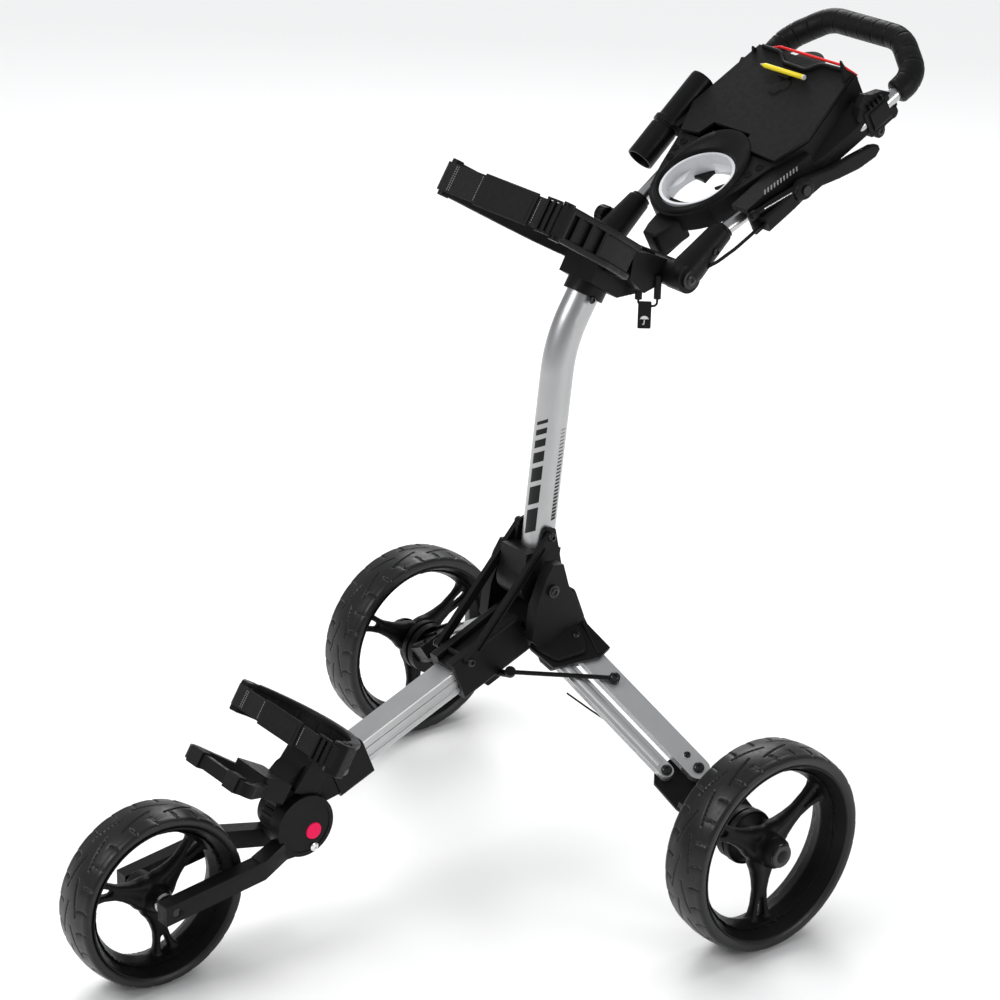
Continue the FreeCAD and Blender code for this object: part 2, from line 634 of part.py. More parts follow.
def make_legs():
    broad = leg_bar(BROAD_W, (0, 0), (-1,))
    rivet = Part.makeCylinder(5, 2, V(LEG_REACH - 24, 1, BAR_T / 2 - 0.5))
    slim = leg_bar(SLIM_W, SLIM_OFFSET, (-1, 1))
    face_x = TRACK / 2 - REAR_HUB_HALF - 4
    end_x = TRACK / 2 + REAR_HUB_HALF
    axle = disc(face_x - 40, end_x + 3, 0, REAR_R, AXLE_R)
    cap = disc(end_x + 1, end_x + 8, 0, REAR_R, 17)
    cap_edge = [e for e in cap.Edges if e.BoundBox.XMin > end_x + 7.9 and e.BoundBox.YLength > 5]
    cable = [(48, -56, -12.2), (86, -48.5, -11.5), (130, -38, -11.5), (205, -27, -11)]
    pieces = {
        "leg_bar_broad": put(fuse(broad, rivet), LEG_FRAME),
        "leg_bar_slim": put(slim, LEG_FRAME),
        "wheel_bracket": wheel_bracket(),
        "rear_axle": fuse(axle, cap.makeFillet(3, cap_edge)),
        "brake_pin": disc(face_x - 20, face_x - 1, BRAKE_RING_R, REAR_R, 3),
        "brake_cable": put(bent_tube(cable, (260, 260), 1.3), LEG_FRAME),
    }
    for name, shape in pieces.items():
        save(name + "_left", shape)
        save(name + "_right", mirror(shape))


# ---- slider and linkage -----------------------------------------------------------------------
SLIDER_X = 27.5
ROD_X = (29.0, 37.0)
ROD_TOP = (-86.0, 488.0)
ROD_FOOT = (-222.0, 337.0)
SLIDER_BALL = (-18.2, -105.2, 13.0)


def make_slider():
    """A channel that runs on the front tube, pinned to the mast rods, with a lug for each leg's link."""
    body = round_box(66, 186, -SLIDER_X, SLIDER_X, -27, 34, 5, "x")
    body = body.cut(prism([(60, -15), (200, -9), (200, 9), (60, 15)], 26, 40))
    nose = prism([(160, -40), (200, -22), (200, -40)], -40, 40)
    body = body.cut(nose).cut(mirror_y(nose))
    tail = round_box(116, 142, -14, 14, -44, -25, 4, "y")
    body = put(fuse(body, tail), TUBE_FRAME)
    for sign in (-1, 1):
        ball = LEG_FRAME.multVec(V(SLIDER_BALL[0], SLIDER_BALL[1], SLIDER_BALL[2] - 7))
        tip = (sign * ball.x, ball.y, ball.z)
        lug = rod((sign * 20, ball.y, ball.z - 8), tip, 5)
        stud = LEG_FRAME.multVec(V(SLIDER_BALL[0], SLIDER_BALL[1], SLIDER_BALL[2] - 1))
        body = fuse(body, lug, Part.makeSphere(5, V(*tip)), rod(tip, (sign * stud.x, stud.y, stud.z), 3))
    body = fuse(body, disc(-ROD_X[1] - 2, ROD_X[1] + 2, *ROD_FOOT, 4))
    return body.cut(tube_room(-60, 300, GAP))


def mirror_y(shape):
    return shape.mirror(V(0, 0, 0), V(0, 1, 0))


def mast_rod():
    """A flat channel rod beside the mast, from its foot on the slider to the mast's ears."""
    bar = flat_bar([ROD_TOP, ROD_FOOT], 12, *ROD_X)
    dy = ROD_FOOT[0] - ROD_TOP[0]
    dz = ROD_FOOT[1] - ROD_TOP[1]
    run = [(ROD_TOP[0] + dy * t, ROD_TOP[1] + dz * t) for t in (0.1, 0.9)]
    bar = bar.cut(flat_bar(run, 5, ROD_X[1] - 2, ROD_X[1] + 1))
    return bar.cut(disc(ROD_X[0] - 1, ROD_X[1] + 1, *ROD_FOOT, 4 + RUN_FIT))


def link_rod():
    """A thin rod with an eye at each end, from the slider's lug to the stud on the broad bar."""
    a = V(*LINK_BALL)
    b = V(SLIDER_BALL[0], SLIDER_BALL[1], SLIDER_BALL[2])
    run = Part.makeCylinder(3.2, (b - a).Length, a, b - a)
    eyes = [Part.makeCylinder(7.5, 7, V(p.x, p.y, p.z - 3.5)) for p in (a, b)]
    shape = fuse(run, *eyes)
    stud = Part.makeCylinder(4, a.z - BAR_T / 2 - 0.6, V(a.x, a.y, BAR_T / 2 + 0.6))
    shape = fuse(shape, stud)
    return shape.cut(Part.makeCylinder(5.5, 6.4, V(b.x, b.y, b.z - 4.5)))


def make_linkage():
    save("slider", make_slider())
    upper = mast_rod()
    save("mast_rod_left", upper)
    save("mast_rod_right", mirror(upper))
    link = put(link_rod(), LEG_FRAME)
    save("link_rod_left", link)
    save("link_rod_right", mirror(link))


# ---- mast -------------------------------------------------------------------------------------
SOCKET_X = 28.0
SOCKET_R = 30.0
MAST_TOP = 120.0            # from the mast's knee to its top end, along the bag's axis


def mast_end():
    return (MAST_KNEE[0] + MAST_TOP * BAG_UP[1], MAST_KNEE[1] + MAST_TOP * BAG_UP[2])


def mast_path(foot):
    return bent_wire([(0,) + foot, (0,) + MAST_KNEE, (0,) + mast_end()], (MAST_BEND_R,))


def make_mast():
    path = mast_path(MAST_FOOT)
    outer = pipe(path, MAST_R)
    save("mast_tube", outer.cut(pipe(path, MAST_R - WALL)))
    block = side_plate([(-127, 420), (-122, 468), (-62, 464), (-68, 424), (-100, 396)], -SOCKET_X, SOCKET_X)
    barrel = disc(-SOCKET_X, SOCKET_X, *MAST_PIVOT, SOCKET_R)
    ears = []
    for side in (-1, 1):
        x0 = min(side * 23.5, side * SOCKET_X)
        ears.append(side_plate([(-104, 440), (-98, 486), (-86, 499), (-72, 494), (-60, 440)], x0, x0 + 4.5))
        ears.append(disc(x0, x0 + 4.5, *ROD_TOP, 10))
    socket = fuse(block, barrel, *ears).cut(outer)
    socket = socket.cut(disc(-60, 60, *MAST_PIVOT, PIN_R + RUN_FIT))
    save("mast_socket", socket)


def make_mast_head():
    """The moulding at the mast's top: a collar on the tube, the cradle's seat and the handle's barrel."""
    top = mast_end()
    start = (0, MAST_KNEE[0] + 70 * BAG_UP[1], MAST_KNEE[1] + 70 * BAG_UP[2])
    end = (0, top[0] + 4 * BAG_UP[1], top[1] + 4 * BAG_UP[2])
    collar = rod(start, end, MAST_R + 6)
    seat = side_plate([(-30, 842), (-8, 884), (22, 893), (60, 876), (84, 862), (98, 838), (80, 822), (48, 812),
                       (16, 812)], -34, 34)
    wings = side_plate([(14, 846), (20, 884), (48, 876), (80, 862), (70, 830), (40, 822)], -62, 62)
    barrel = disc(-70, 70, *HANDLE_PIVOT, 19)
    body = fuse(collar, seat, wings, barrel)
    body = body.cut(pipe(mast_path(MAST_FOOT), MAST_R + 0.02))
    body = body.cut(disc(-90, 90, *HANDLE_PIVOT, 7 + RUN_FIT))
    lug = fuse(rod((46, 44, 834), (46, 44, 809), 5), rod((64, 62, 844), (64, 62, 811), 5))
    save("mast_head", fuse(body, lug).cut(disc(-90, 90, *HANDLE_PIVOT, 7 + RUN_FIT)))


UPPER_Z = (728.0, 776.0)
UPPER_BACK = -440.0
UPPER_TIP = -627.0
UPPER_HALF = 119.0


def cradle_outline(inset, y_tip):
    """Half outline of the upper cradle's inner wall, from the back's middle to the tip."""
    corner = inset * 0.4
    return [(0, UPPER_BACK - inset), (62 - corner, UPPER_BACK - inset), (94 - inset, UPPER_BACK - 26 - corner),
            (110 - inset, UPPER_BACK - 84), (UPPER_HALF - inset, y_tip)]


def make_upper_cradle():
    """A deep fork that holds the bag's top, with a boss at the tips for the strap."""
    outer = cradle_outline(0, UPPER_TIP)
    inner = cradle_outline(9, UPPER_TIP - 1)
    shell = prism(outer + [(-x, y) for x, y in reversed(outer[1:])], *UPPER_Z)
    hollow = prism(inner + [(-x, y) for x, y in reversed(inner[1:])], UPPER_Z[0] - 1, UPPER_Z[1] + 1)
    shell = shell.cut(hollow)
    bosses = []
    for side in (-1, 1):
        bosses.append(Part.makeCylinder(8, UPPER_Z[1] - UPPER_Z[0] + 4,
                                        V(side * (UPPER_HALF - 1), UPPER_TIP - 2, UPPER_Z[0] - 2)))
    cradle = put(fuse(shell, *bosses), BAG_FRAME)
    cradle = cradle.cut(PARTS["mast_head"]).cut(PARTS["mast_tube"])
    save("upper_cradle", max(cradle.Solids, key=lambda solid: solid.Volume))


def make_upper_strap():
    x = UPPER_HALF - 1
    y = UPPER_TIP - 2
    z0, z1 = UPPER_Z[0] + 4, UPPER_Z[1] - 4
    band = box(-x, x, y - 11.2, y - 8.4, z0, z1)
    loops = [strap_loop(side * x, y, 8.3, z0, z1) for side in (-1, 1)]
    save("upper_strap", put(fuse(band, *loops), BAG_FRAME).cut(PARTS["upper_cradle"]))


def make_tag():
    """A rubber keeper under the mast head: a loop between two lugs and a small flat tag on it."""
    loop = bent_tube([(46, 44, 808.6), (46, 44, 800), (64, 62, 800), (64, 62, 810.6)], (6, 6), 1.6)
    tag = round_box(-9, 9, -1.6, 1.6, -38, 0, 2, "y")
    tag = put(tag, FreeCAD.Placement(V(53, 50, 806), FreeCAD.Rotation(V(0, 0, 1), 52)))
    save("umbrella_tag", group(fuse(loop, tag)))


# ---- handle and console -----------------------------------------------------------------------
HANDLE_X = 86.0
HANDLE_R = 10.0
GRIP_R = 18.0
GRIP_START = 316.0
HANDLE_RADII = (120, 300, 44, 60, 60, 44, 300, 120)


def handle_points():
    """The handle's centre line in the console's axes, from the left pivot round to the right one."""
    half = [(HANDLE_X, -62, -9.7), (HANDLE_X, -6, -1), (118, 240, 0), (128, 354, 9), (70, 397, 26)]
    return half + [(-x, y, z) for x, y, z in reversed(half)]


def make_handle():
    points = handle_points()
    radii = HANDLE_RADII
    path = bent_wire(points, radii)
    tube = put(pipe(path, HANDLE_R), CONSOLE_FRAME)
    save("handle_tube", tube)
    inside = box(-300, 300, GRIP_START, 600, -100, 200)
    grip = pipe(path, GRIP_R).common(inside).cut(pipe(path, HANDLE_R + 0.02))
    save("handle_grip", put(grip, CONSOLE_FRAME))
    sleeves = []
    for side in (-1, 1):
        x0 = min(side * 71, side * 101)
        eye = disc(x0, x0 + 30, 0, 0, 20)
        start = V(side * HANDLE_X, 6, 0)
        ahead = V(0, 84, 13)
        barrel = Part.makeCylinder(14, 84, start, ahead)
        sleeve = put(fuse(eye, barrel), HANDLE_FRAME).cut(tube)
        sleeve = sleeve.cut(disc(-110, 110, *HANDLE_PIVOT, 7 + 0.02))
        sleeves.append(max(sleeve.Solids, key=lambda solid: solid.Volume))
    clamp = round_box(103, 134, 258, 292, -15, 17, 6, "y")
    for side_clamp in (clamp, mirror(clamp)):
        sleeves.append(put(side_clamp, CONSOLE_FRAME).cut(tube))
    save("handle_sleeves", group(*sleeves))


RING_CENTRE = (0.0, 48.0)
RING_R = 56.0
LINER_R = 55.0
PENCIL = (248.0, 60.2)
DASH_R = 71.0
DASH = [(-62, 12), (62, 12), (78, 50), (98, 112), (-98, 112), (-78, 50)]
BIN = [(-98, 106), (98, 106), (118, 160), (96, 286), (-96, 286), (-118, 160)]
LID = [(-96, 112), (-62, 116), (-52, 140), (22, 140), (30, 116), (96, 112), (117, 161), (95, 284), (-95, 284),
       (-117, 161)]


def lean_slab(outline, low, high):
    """A polygon in the console's plan, cut between two surfaces given as (v, w) lines."""
    tall = prism(outline, -60, 90)
    corners = [V(-200, v, w) for v, w in low + list(reversed(high))]
    face = Part.Face(Part.makePolygon(corners + [corners[0]]))
    return tall.common(face.extrude(V(400, 0, 0)))


def make_console():
    """The console's body: a cup ring, a storage bin with an open top, a post and the brake's side panel."""
    low, high = [(-40, -4), (120, -10)], [(-40, 18), (0, 24), (120, 33)]
    rounded = [(DASH_R * math.cos(a * math.pi / 18), RING_CENTRE[1] + DASH_R * math.sin(a * math.pi / 18))
               for a in range(36)]
    dash = fuse(lean_slab(DASH, low, high), lean_slab(rounded, low, high))
    bin_out = lean_slab(BIN, [(100, -10), (290, -2)], [(100, 31), (290, 54)])
    bin_in = lean_slab([(-90, 112), (90, 112), (110, 160), (90, 279), (-90, 279), (-110, 160)],
                       [(104, -5), (282, 3)], [(104, 60), (282, 90)])
    ring_hole = Part.makeCylinder(RING_R, 90, V(*RING_CENTRE, -40))
    skirt = Part.makeCylinder(RING_R + 8, 34, V(*RING_CENTRE, -10))
    tongue = Part.makeCylinder(32, 5, V(0, 274, 47)).common(box(-40, 40, 284, 320, 0, 90))
    post = round_box(-15, 15, -58, -6, -26, 10, 8, "z")
    side = fuse(box(118, 123, 26, 152, -16, 27), box(92, 123, 26, 152, 20, 27), box(100, 123, 100, 152, 12, 27))
    cable_end = round_box(121, 143, 36, 88, -13, 11, 5, "y")
    arm = box(-124, -108, 118, 150, 12, 34)
    body = fuse(dash, bin_out, skirt, post, side, cable_end, arm, tongue)
    body = body.cut(ring_hole).cut(bin_in)
    body = body.cut(pipe(bent_wire(handle_points(), HANDLE_RADII), HANDLE_R + 0.3))
    body = body.cut(umbrella_bore(18.02))
    body = put(body, CONSOLE_FRAME).cut(PARTS["handle_sleeves"])
    save("console_body", max(body.Solids, key=lambda solid: solid.Volume))
    lid = lean_slab(LID, [(100, 31.4), (290, 54.4)], [(100, 36), (290, 59)])
    boss = box(-14, 6, 240, 256, 50, 58)
    groove = Part.makeCylinder(3.7, 120, V(-60, *PENCIL), V(1, 0, 0))
    save("console_lid", put(fuse(lid, boss).cut(groove), CONSOLE_FRAME))
    liner = Part.makeCylinder(LINER_R, 36, V(*RING_CENTRE, -8))
    liner = liner.cut(Part.makeCylinder(LINER_R - 4, 40, V(*RING_CENTRE, -10)))
    for step in range(4):
        angle = math.radians(45 + 90 * step)
        tab = box(LINER_R - 20, LINER_R - 3, -2.5, 2.5, -6, -2)
        tab.rotate(V(0, 0, 0), V(0, 0, 1), math.degrees(angle))
        tab.translate(V(*RING_CENTRE, 0))
        liner = liner.fuse(tab)
    save("cup_ring", put(liner, CONSOLE_FRAME))


UMBRELLA_START = (-137.0, 57.0, 12.0)
UMBRELLA_AXIS = (0.0, 148.0, 33.0)


def umbrella_bore(radius):
    start = V(*UMBRELLA_START)
    axis = V(*UMBRELLA_AXIS)
    return Part.makeCylinder(radius, axis.Length, start, axis)


def make_umbrella_tube():
    start = V(*UMBRELLA_START)
    axis = V(*UMBRELLA_AXIS)
    unit = V(axis).normalize()
    tube = umbrella_bore(18)
    collar = Part.makeCylinder(19.8, 8, start + unit * 62, axis).cut(box(-119, -80, 0, 300, -60, 90))
    tube = fuse(tube, collar).cut(Part.makeCylinder(15.5, axis.Length - 5, start - unit, axis))
    save("umbrella_tube", put(tube, CONSOLE_FRAME).cut(PARTS["console_body"]))


LEVER_PIVOT = (112.0, 0.0)


def make_brake_lever():
    """The brake lever beside the console, its pivot pin, and the cable from it to the handle's joint."""
    v, w = LEVER_PIVOT
    outline = [(94, 7), (112, 11), (140, 8), (170, -2), (200, -12), (236, -24), (243, -32), (236, -38), (196, -30),
               (150, -18), (112, -12), (94, -9)]
    lever = side_plate(outline, 131, 142)
    eye = disc(128, 143, v, w, 13)
    lever = fuse(lever, eye).cut(disc(120, 150, v, w, 4 + RUN_FIT))
    save("brake_lever", put(lever, CONSOLE_FRAME))
    pin = put(fuse(disc(123.02, 145, v, w, 4), disc(143.4, 146, v, w, 7)), CONSOLE_FRAME)
    shaft = fuse(disc(-101, 101, *HANDLE_PIVOT, 7), disc(101.02, 105, *HANDLE_PIVOT, 13),
                 disc(-105, -101.02, *HANDLE_PIVOT, 13), disc(-103, 103, *HANDLE_PIVOT, 6))
    save("handle_pins", group(shaft, pin))
    route = [(134, 35.0, 0), (132, 12, -2), (124, -14, -8), (112, -40, -14), (101, -58, -16)]
    save("brake_cable_top", put(bent_tube(route, (60, 60, 60), 2.4), CONSOLE_FRAME).cut(PARTS["handle_sleeves"]))


def make_small_pieces():
    pencil = Part.makeCylinder(3.5, 78, V(-46, *PENCIL), V(1, 0, 0))
    tip = Part.makeCone(0.6, 3.5, 10, V(-56, *PENCIL), V(1, 0, 0))
    save("pencil", put(fuse(pencil, tip), CONSOLE_FRAME))
    cord = bent_tube([(-88, 290.5, 47), (-60, 291.5, 57), (62, 291.5, 57), (90, 290.5, 47)], (18, 18), 2)
    save("elastic_cord", put(cord, CONSOLE_FRAME).cut(PARTS["console_body"]).cut(PARTS["console_lid"]))
    knob = disc(-119, -105, 39, 13, 14)
    for step in range(12):
        angle = math.radians(30 * step)
        knob = knob.cut(disc(-117, -104, 39 + 15 * math.cos(angle), 13 + 15 * math.sin(angle), 2.4))
    save("clamp_knob", put(knob, HANDLE_FRAME))


# ---- build ------------------------------------------------------------------------------------
make_wheels()
make_fork()
make_front_tube()
make_front_bracket()
make_lower_cradle()
make_lower_strap()
make_base_loop()
make_hub()
make_legs()
make_linkage()
make_mast()
make_mast_head()
make_upper_cradle()
make_upper_strap()
make_tag()
make_handle()
make_console()
make_umbrella_tube()
make_brake_lever()
make_small_pieces()
write_all()
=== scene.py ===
import math

import bmesh
import bpy
from mathutils import Matrix, Vector


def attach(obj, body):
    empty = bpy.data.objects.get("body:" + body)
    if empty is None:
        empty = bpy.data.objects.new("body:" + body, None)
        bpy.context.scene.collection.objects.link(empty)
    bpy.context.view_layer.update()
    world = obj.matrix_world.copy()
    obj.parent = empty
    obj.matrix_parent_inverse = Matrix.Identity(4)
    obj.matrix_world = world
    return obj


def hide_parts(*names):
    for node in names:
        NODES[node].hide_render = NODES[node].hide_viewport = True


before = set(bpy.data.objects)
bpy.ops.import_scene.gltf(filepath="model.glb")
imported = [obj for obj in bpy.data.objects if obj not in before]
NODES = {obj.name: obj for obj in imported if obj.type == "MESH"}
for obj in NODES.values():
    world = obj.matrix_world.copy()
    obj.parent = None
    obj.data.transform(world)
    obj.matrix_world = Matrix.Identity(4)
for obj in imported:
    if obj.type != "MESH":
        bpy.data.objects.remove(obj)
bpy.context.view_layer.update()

# The looks of a golf push trolley. Detail is laid out in millimetres, in local axes that follow one
# part of the trolley each, and is carried into the row frame, in metres, when a piece is made.

MM = 0.001
SHIFT_Y = 164.3             # from the rear axle line to the row's origin, mm
REAR_TYRE = (146, 72, 127)  # radius, width and bore, mm
FRONT_TYRE = (124, 70, 107)
REAR_TRACK = 395            # from the middle plane to a rear wheel's middle
BOLT_SEGMENTS = 24
NOISE_RANGE = (0.3, 0.7)    # where nearly all of a noise texture's values lie
EDGE_ANGLE = 32             # edges sharper than this are rounded, degrees
SIDES = (("left", 1), ("right", -1))


# ---- local axes -------------------------------------------------------------------------------
def axes(origin, x_axis, z_axis):
    x = Vector(x_axis).normalized()
    z = Vector(z_axis).normalized()
    turn = Matrix((x, z.cross(x), z)).transposed().to_4x4()
    return Matrix.Translation(origin) @ turn


def polar(degrees):
    a = math.radians(degrees)
    return math.cos(a), math.sin(a)


ROW = Matrix.Translation((0, SHIFT_Y * MM, 0)) @ Matrix.Scale(MM, 4)
FLIP = Matrix.Scale(-1, 4, (1, 0, 0))
SC, SS = polar(22.0)        # front tube's slope
DC, DS = polar(32.5)        # the legs' dip
BC, BS = polar(31.0)        # the bag's lean
HC, HS = polar(29.1)        # the handle's tilt
LEG = ROW @ axes((60, -59, 332), (DC, DS * SS, -DS * SC), (DS, -DC * SS, DC * SC))
BAG = ROW @ axes((0, 0, 0), (1, 0, 0), (0, BS, BC))
HANDLE = ROW @ axes((0, 85, 844), (1, 0, 0), (0, -HS, HC))
CONSOLE = HANDLE @ Matrix.Translation((0, 84, 13))


def on_side(place, sign):
    """The same local axes on the other side of the trolley when sign is -1."""
    return place if sign > 0 else FLIP @ place


# ---- materials --------------------------------------------------------------------------------
def shader_of(name, colour, roughness, metallic=0.0, specular=0.5):
    mat = bpy.data.materials.new(name)
    mat.use_nodes = True
    tree = mat.node_tree
    bsdf = tree.nodes["Principled BSDF"]
    bsdf.inputs["Base Color"].default_value = (*colour, 1)
    bsdf.inputs["Roughness"].default_value = roughness
    bsdf.inputs["Metallic"].default_value = metallic
    bsdf.inputs["Specular IOR Level"].default_value = specular
    mat.diffuse_color = (*colour, 1)
    return mat, tree, bsdf


def coordinates(tree, scale=(1, 1, 1), rotation=(0, 0, 0)):
    coord = tree.nodes.new("ShaderNodeTexCoord")
    mapping = tree.nodes.new("ShaderNodeMapping")
    mapping.vector_type = "TEXTURE"
    mapping.inputs["Scale"].default_value = [1 / s for s in scale]
    mapping.inputs["Rotation"].default_value = rotation
    tree.links.new(coord.outputs["Object"], mapping.inputs["Vector"])
    return mapping.outputs["Vector"]


def noise_of(tree, vector, scale, detail=3.0):
    node = tree.nodes.new("ShaderNodeTexNoise")
    node.inputs["Scale"].default_value = scale
    node.inputs["Detail"].default_value = detail
    tree.links.new(vector, node.inputs["Vector"])
    return node.outputs["Fac"]


def spread(tree, value, low, high):
    """Maps a noise value to the range from low to high."""
    node = tree.nodes.new("ShaderNodeMapRange")
    node.inputs["From Min"].default_value = NOISE_RANGE[0]
    node.inputs["From Max"].default_value = NOISE_RANGE[1]
    node.inputs["To Min"].default_value = low
    node.inputs["To Max"].default_value = high
    tree.links.new(value, node.inputs["Value"])
    return node.outputs["Result"]


def tint(tree, value, dark, light):
    node = tree.nodes.new("ShaderNodeMix")
    node.data_type = "RGBA"
    node.inputs["A"].default_value = (*dark, 1)
    node.inputs["B"].default_value = (*light, 1)
    tree.links.new(value, node.inputs["Factor"])
    return node.outputs["Result"]


def relief(tree, bsdf, height, depth, below=None):
    """Bump of so many metres, over another bump's normal when below is given."""
    node = tree.nodes.new("ShaderNodeBump")
    node.inputs["Distance"].default_value = depth
    node.inputs["Strength"].default_value = 1.0
    tree.links.new(height, node.inputs["Height"])
    if below is not None:
        tree.links.new(below, node.inputs["Normal"])
    tree.links.new(node.outputs["Normal"], bsdf.inputs["Normal"])
    return node.outputs["Normal"]


def moulded(name, shade, roughness, grain=900.0, depth=0.00006, contrast=0.25, specular=0.15):
    """Moulded plastic or rubber: cloudy colour, uneven gloss and a fine eroded grain."""
    colour = (shade, shade, shade * 1.06)
    mat, tree, bsdf = shader_of(name, colour, roughness, specular=specular)
    vector = coordinates(tree)
    cloud = noise_of(tree, vector, 22.0, 4.0)
    dark = tuple(c * (1 - contrast) for c in colour)
    light = tuple(c * (1 + contrast) for c in colour)
    tree.links.new(tint(tree, cloud, dark, light), bsdf.inputs["Base Color"])
    patches = noise_of(tree, vector, 130.0, 5.0)
    gloss = spread(tree, patches, roughness * 0.86, min(1.0, roughness * 1.18))
    tree.links.new(gloss, bsdf.inputs["Roughness"])
    fine = noise_of(tree, vector, grain, 2.0)
    relief(tree, bsdf, fine, depth)
    return mat


def brushed(name, shade, roughness, direction):
    """Anodised aluminium with draw lines along one direction."""
    streak = 0.10
    colour = (shade, shade * 1.003, shade * 1.008)
    mat, tree, bsdf = shader_of(name, colour, roughness, metallic=1.0)
    turn = Vector((1, 0, 0)).rotation_difference(Vector(direction)).to_euler()
    along = coordinates(tree, (14, 1500, 1500), turn)
    lines = noise_of(tree, along, 1.0, 3.0)
    cloud = noise_of(tree, coordinates(tree), 30.0, 5.0)
    tree.links.new(spread(tree, lines, roughness * (1 - streak), roughness * (1 + streak)),
                   bsdf.inputs["Roughness"])
    dark = tuple(c * 0.93 for c in colour)
    light = tuple(min(1.0, c * 1.04) for c in colour)
    tree.links.new(tint(tree, cloud, dark, light), bsdf.inputs["Base Color"])
    speck = noise_of(tree, coordinates(tree), 2600.0, 1.0)
    first = relief(tree, bsdf, speck, 0.00002)
    relief(tree, bsdf, lines, 0.000015, below=first)
    return mat


def woven(name, shade):
    """Nylon webbing: two crossed waves of thread."""
    scales = {"X": 520.0, "Z": 312.0}
    colour = (shade, shade, shade * 1.04)
    mat, tree, bsdf = shader_of(name, colour, 0.72, specular=0.2)
    bsdf.inputs["Sheen Weight"].default_value = 0.08
    bsdf.inputs["Sheen Roughness"].default_value = 0.4
    vector = coordinates(tree, (1, 1, 1), (math.radians(31), 0, 0))
    heights = []
    for axis, scale in scales.items():
        wave = tree.nodes.new("ShaderNodeTexWave")
        wave.bands_direction = axis
        wave.inputs["Scale"].default_value = scale
        wave.inputs["Distortion"].default_value = 0.6
        tree.links.new(vector, wave.inputs["Vector"])
        heights.append(wave.outputs["Fac"])
    both = tree.nodes.new("ShaderNodeMath")
    both.operation = "MULTIPLY"
    tree.links.new(heights[0], both.inputs[0])
    tree.links.new(heights[1], both.inputs[1])
    dark = tuple(c * 0.55 for c in colour)
    light = tuple(c * 1.9 for c in colour)
    tree.links.new(tint(tree, both.outputs["Value"], dark, light), bsdf.inputs["Base Color"])
    relief(tree, bsdf, both.outputs["Value"], 0.0003)
    return mat


def painted(name, colour, roughness, coat=0.0, mottle=0.12, specular=0.25):
    """Smooth coloured plastic, paint or lacquer with slight unevenness."""
    mat, tree, bsdf = shader_of(name, colour, roughness, specular=specular)
    bsdf.inputs["Coat Weight"].default_value = coat
    bsdf.inputs["Coat Roughness"].default_value = 0.12
    vector = coordinates(tree)
    cloud = noise_of(tree, vector, 160.0, 4.0)
    dark = tuple(c * (1 - mottle) for c in colour)
    light = tuple(min(1.0, c * (1 + mottle)) for c in colour)
    tree.links.new(tint(tree, cloud, dark, light), bsdf.inputs["Base Color"])
    fine = noise_of(tree, vector, 1500.0, 2.0)
    gloss = spread(tree, fine, roughness * 0.85, min(1.0, roughness * 1.15))
    tree.links.new(gloss, bsdf.inputs["Roughness"])
    relief(tree, bsdf, fine, 0.00003)
    return mat


BLACK = moulded("plastic_black", 0.0055, 0.42)
SATIN = moulded("plastic_satin", 0.0060, 0.36, grain=1200.0, depth=0.00004)
CASE = moulded("plastic_console", 0.0050, 0.46, grain=1600.0, depth=0.00008)
LID = moulded("plastic_lid", 0.0040, 0.52, grain=1700.0, depth=0.00010, specular=0.2)
RIM = moulded("plastic_rim", 0.0045, 0.42)
TYRE = moulded("tyre_rubber", 0.0070, 0.36, grain=700.0, depth=0.00008, contrast=0.35,
               specular=0.36)
RUBBER = moulded("grip_rubber", 0.0060, 0.46, grain=1500.0, depth=0.00010)
PAD = moulded("pad_rubber", 0.011, 0.58, grain=1100.0, depth=0.00012)
# painted shade: a near-black colour for thin sheets that stand in for the shade inside tee holes
# and a square socket
RECESS_SHADE = painted("painted_recess_shade", (0.0015, 0.0015, 0.0015), 0.8)
WEB = woven("webbing", 0.007)
PATCH = moulded("patch_rubber", 0.0045, 0.55, grain=1300.0, depth=0.00012, specular=0.2)
THREAD = painted("thread_grey", (0.33, 0.33, 0.34), 0.6)
PRINT = painted("print_black", (0.006, 0.006, 0.007), 0.35)
MARK = painted("print_white", (0.72, 0.72, 0.72), 0.45)
LINER = painted("liner_white", (0.66, 0.67, 0.69), 0.42, mottle=0.05)
PINK = painted("button_red", (1.0, 0.0, 0.10), 0.5, mottle=0.03)
YELLOW = painted("pencil_yellow", (0.88, 0.70, 0.015), 0.32, coat=0.3, mottle=0.05)
RED = painted("cord_red", (0.80, 0.02, 0.02), 0.55)
STEEL = brushed("steel_zinc", 0.50, 0.30, (1, 0, 0))
BOLT = moulded("bolt_black", 0.010, 0.26, grain=2000.0, depth=0.00002, specular=0.4)
SCREW = brushed("screw_bright", 0.80, 0.25, (1, 0, 0))
ALU_TUBE = brushed("alu_front_tube", 0.62, 0.42, (0, -SC, -SS))
ALU_MAST = brushed("alu_mast", 0.46, 0.36, (0, 0.1, 1))
ALU_HANDLE = brushed("alu_handle", 0.52, 0.30, (0, HC, HS))
ALU_LEG = {1: brushed("alu_leg_left", 0.66, 0.42, (DC, DS * SS, -DS * SC)),
           -1: brushed("alu_leg_right", 0.66, 0.42, (-DC, DS * SS, -DS * SC))}


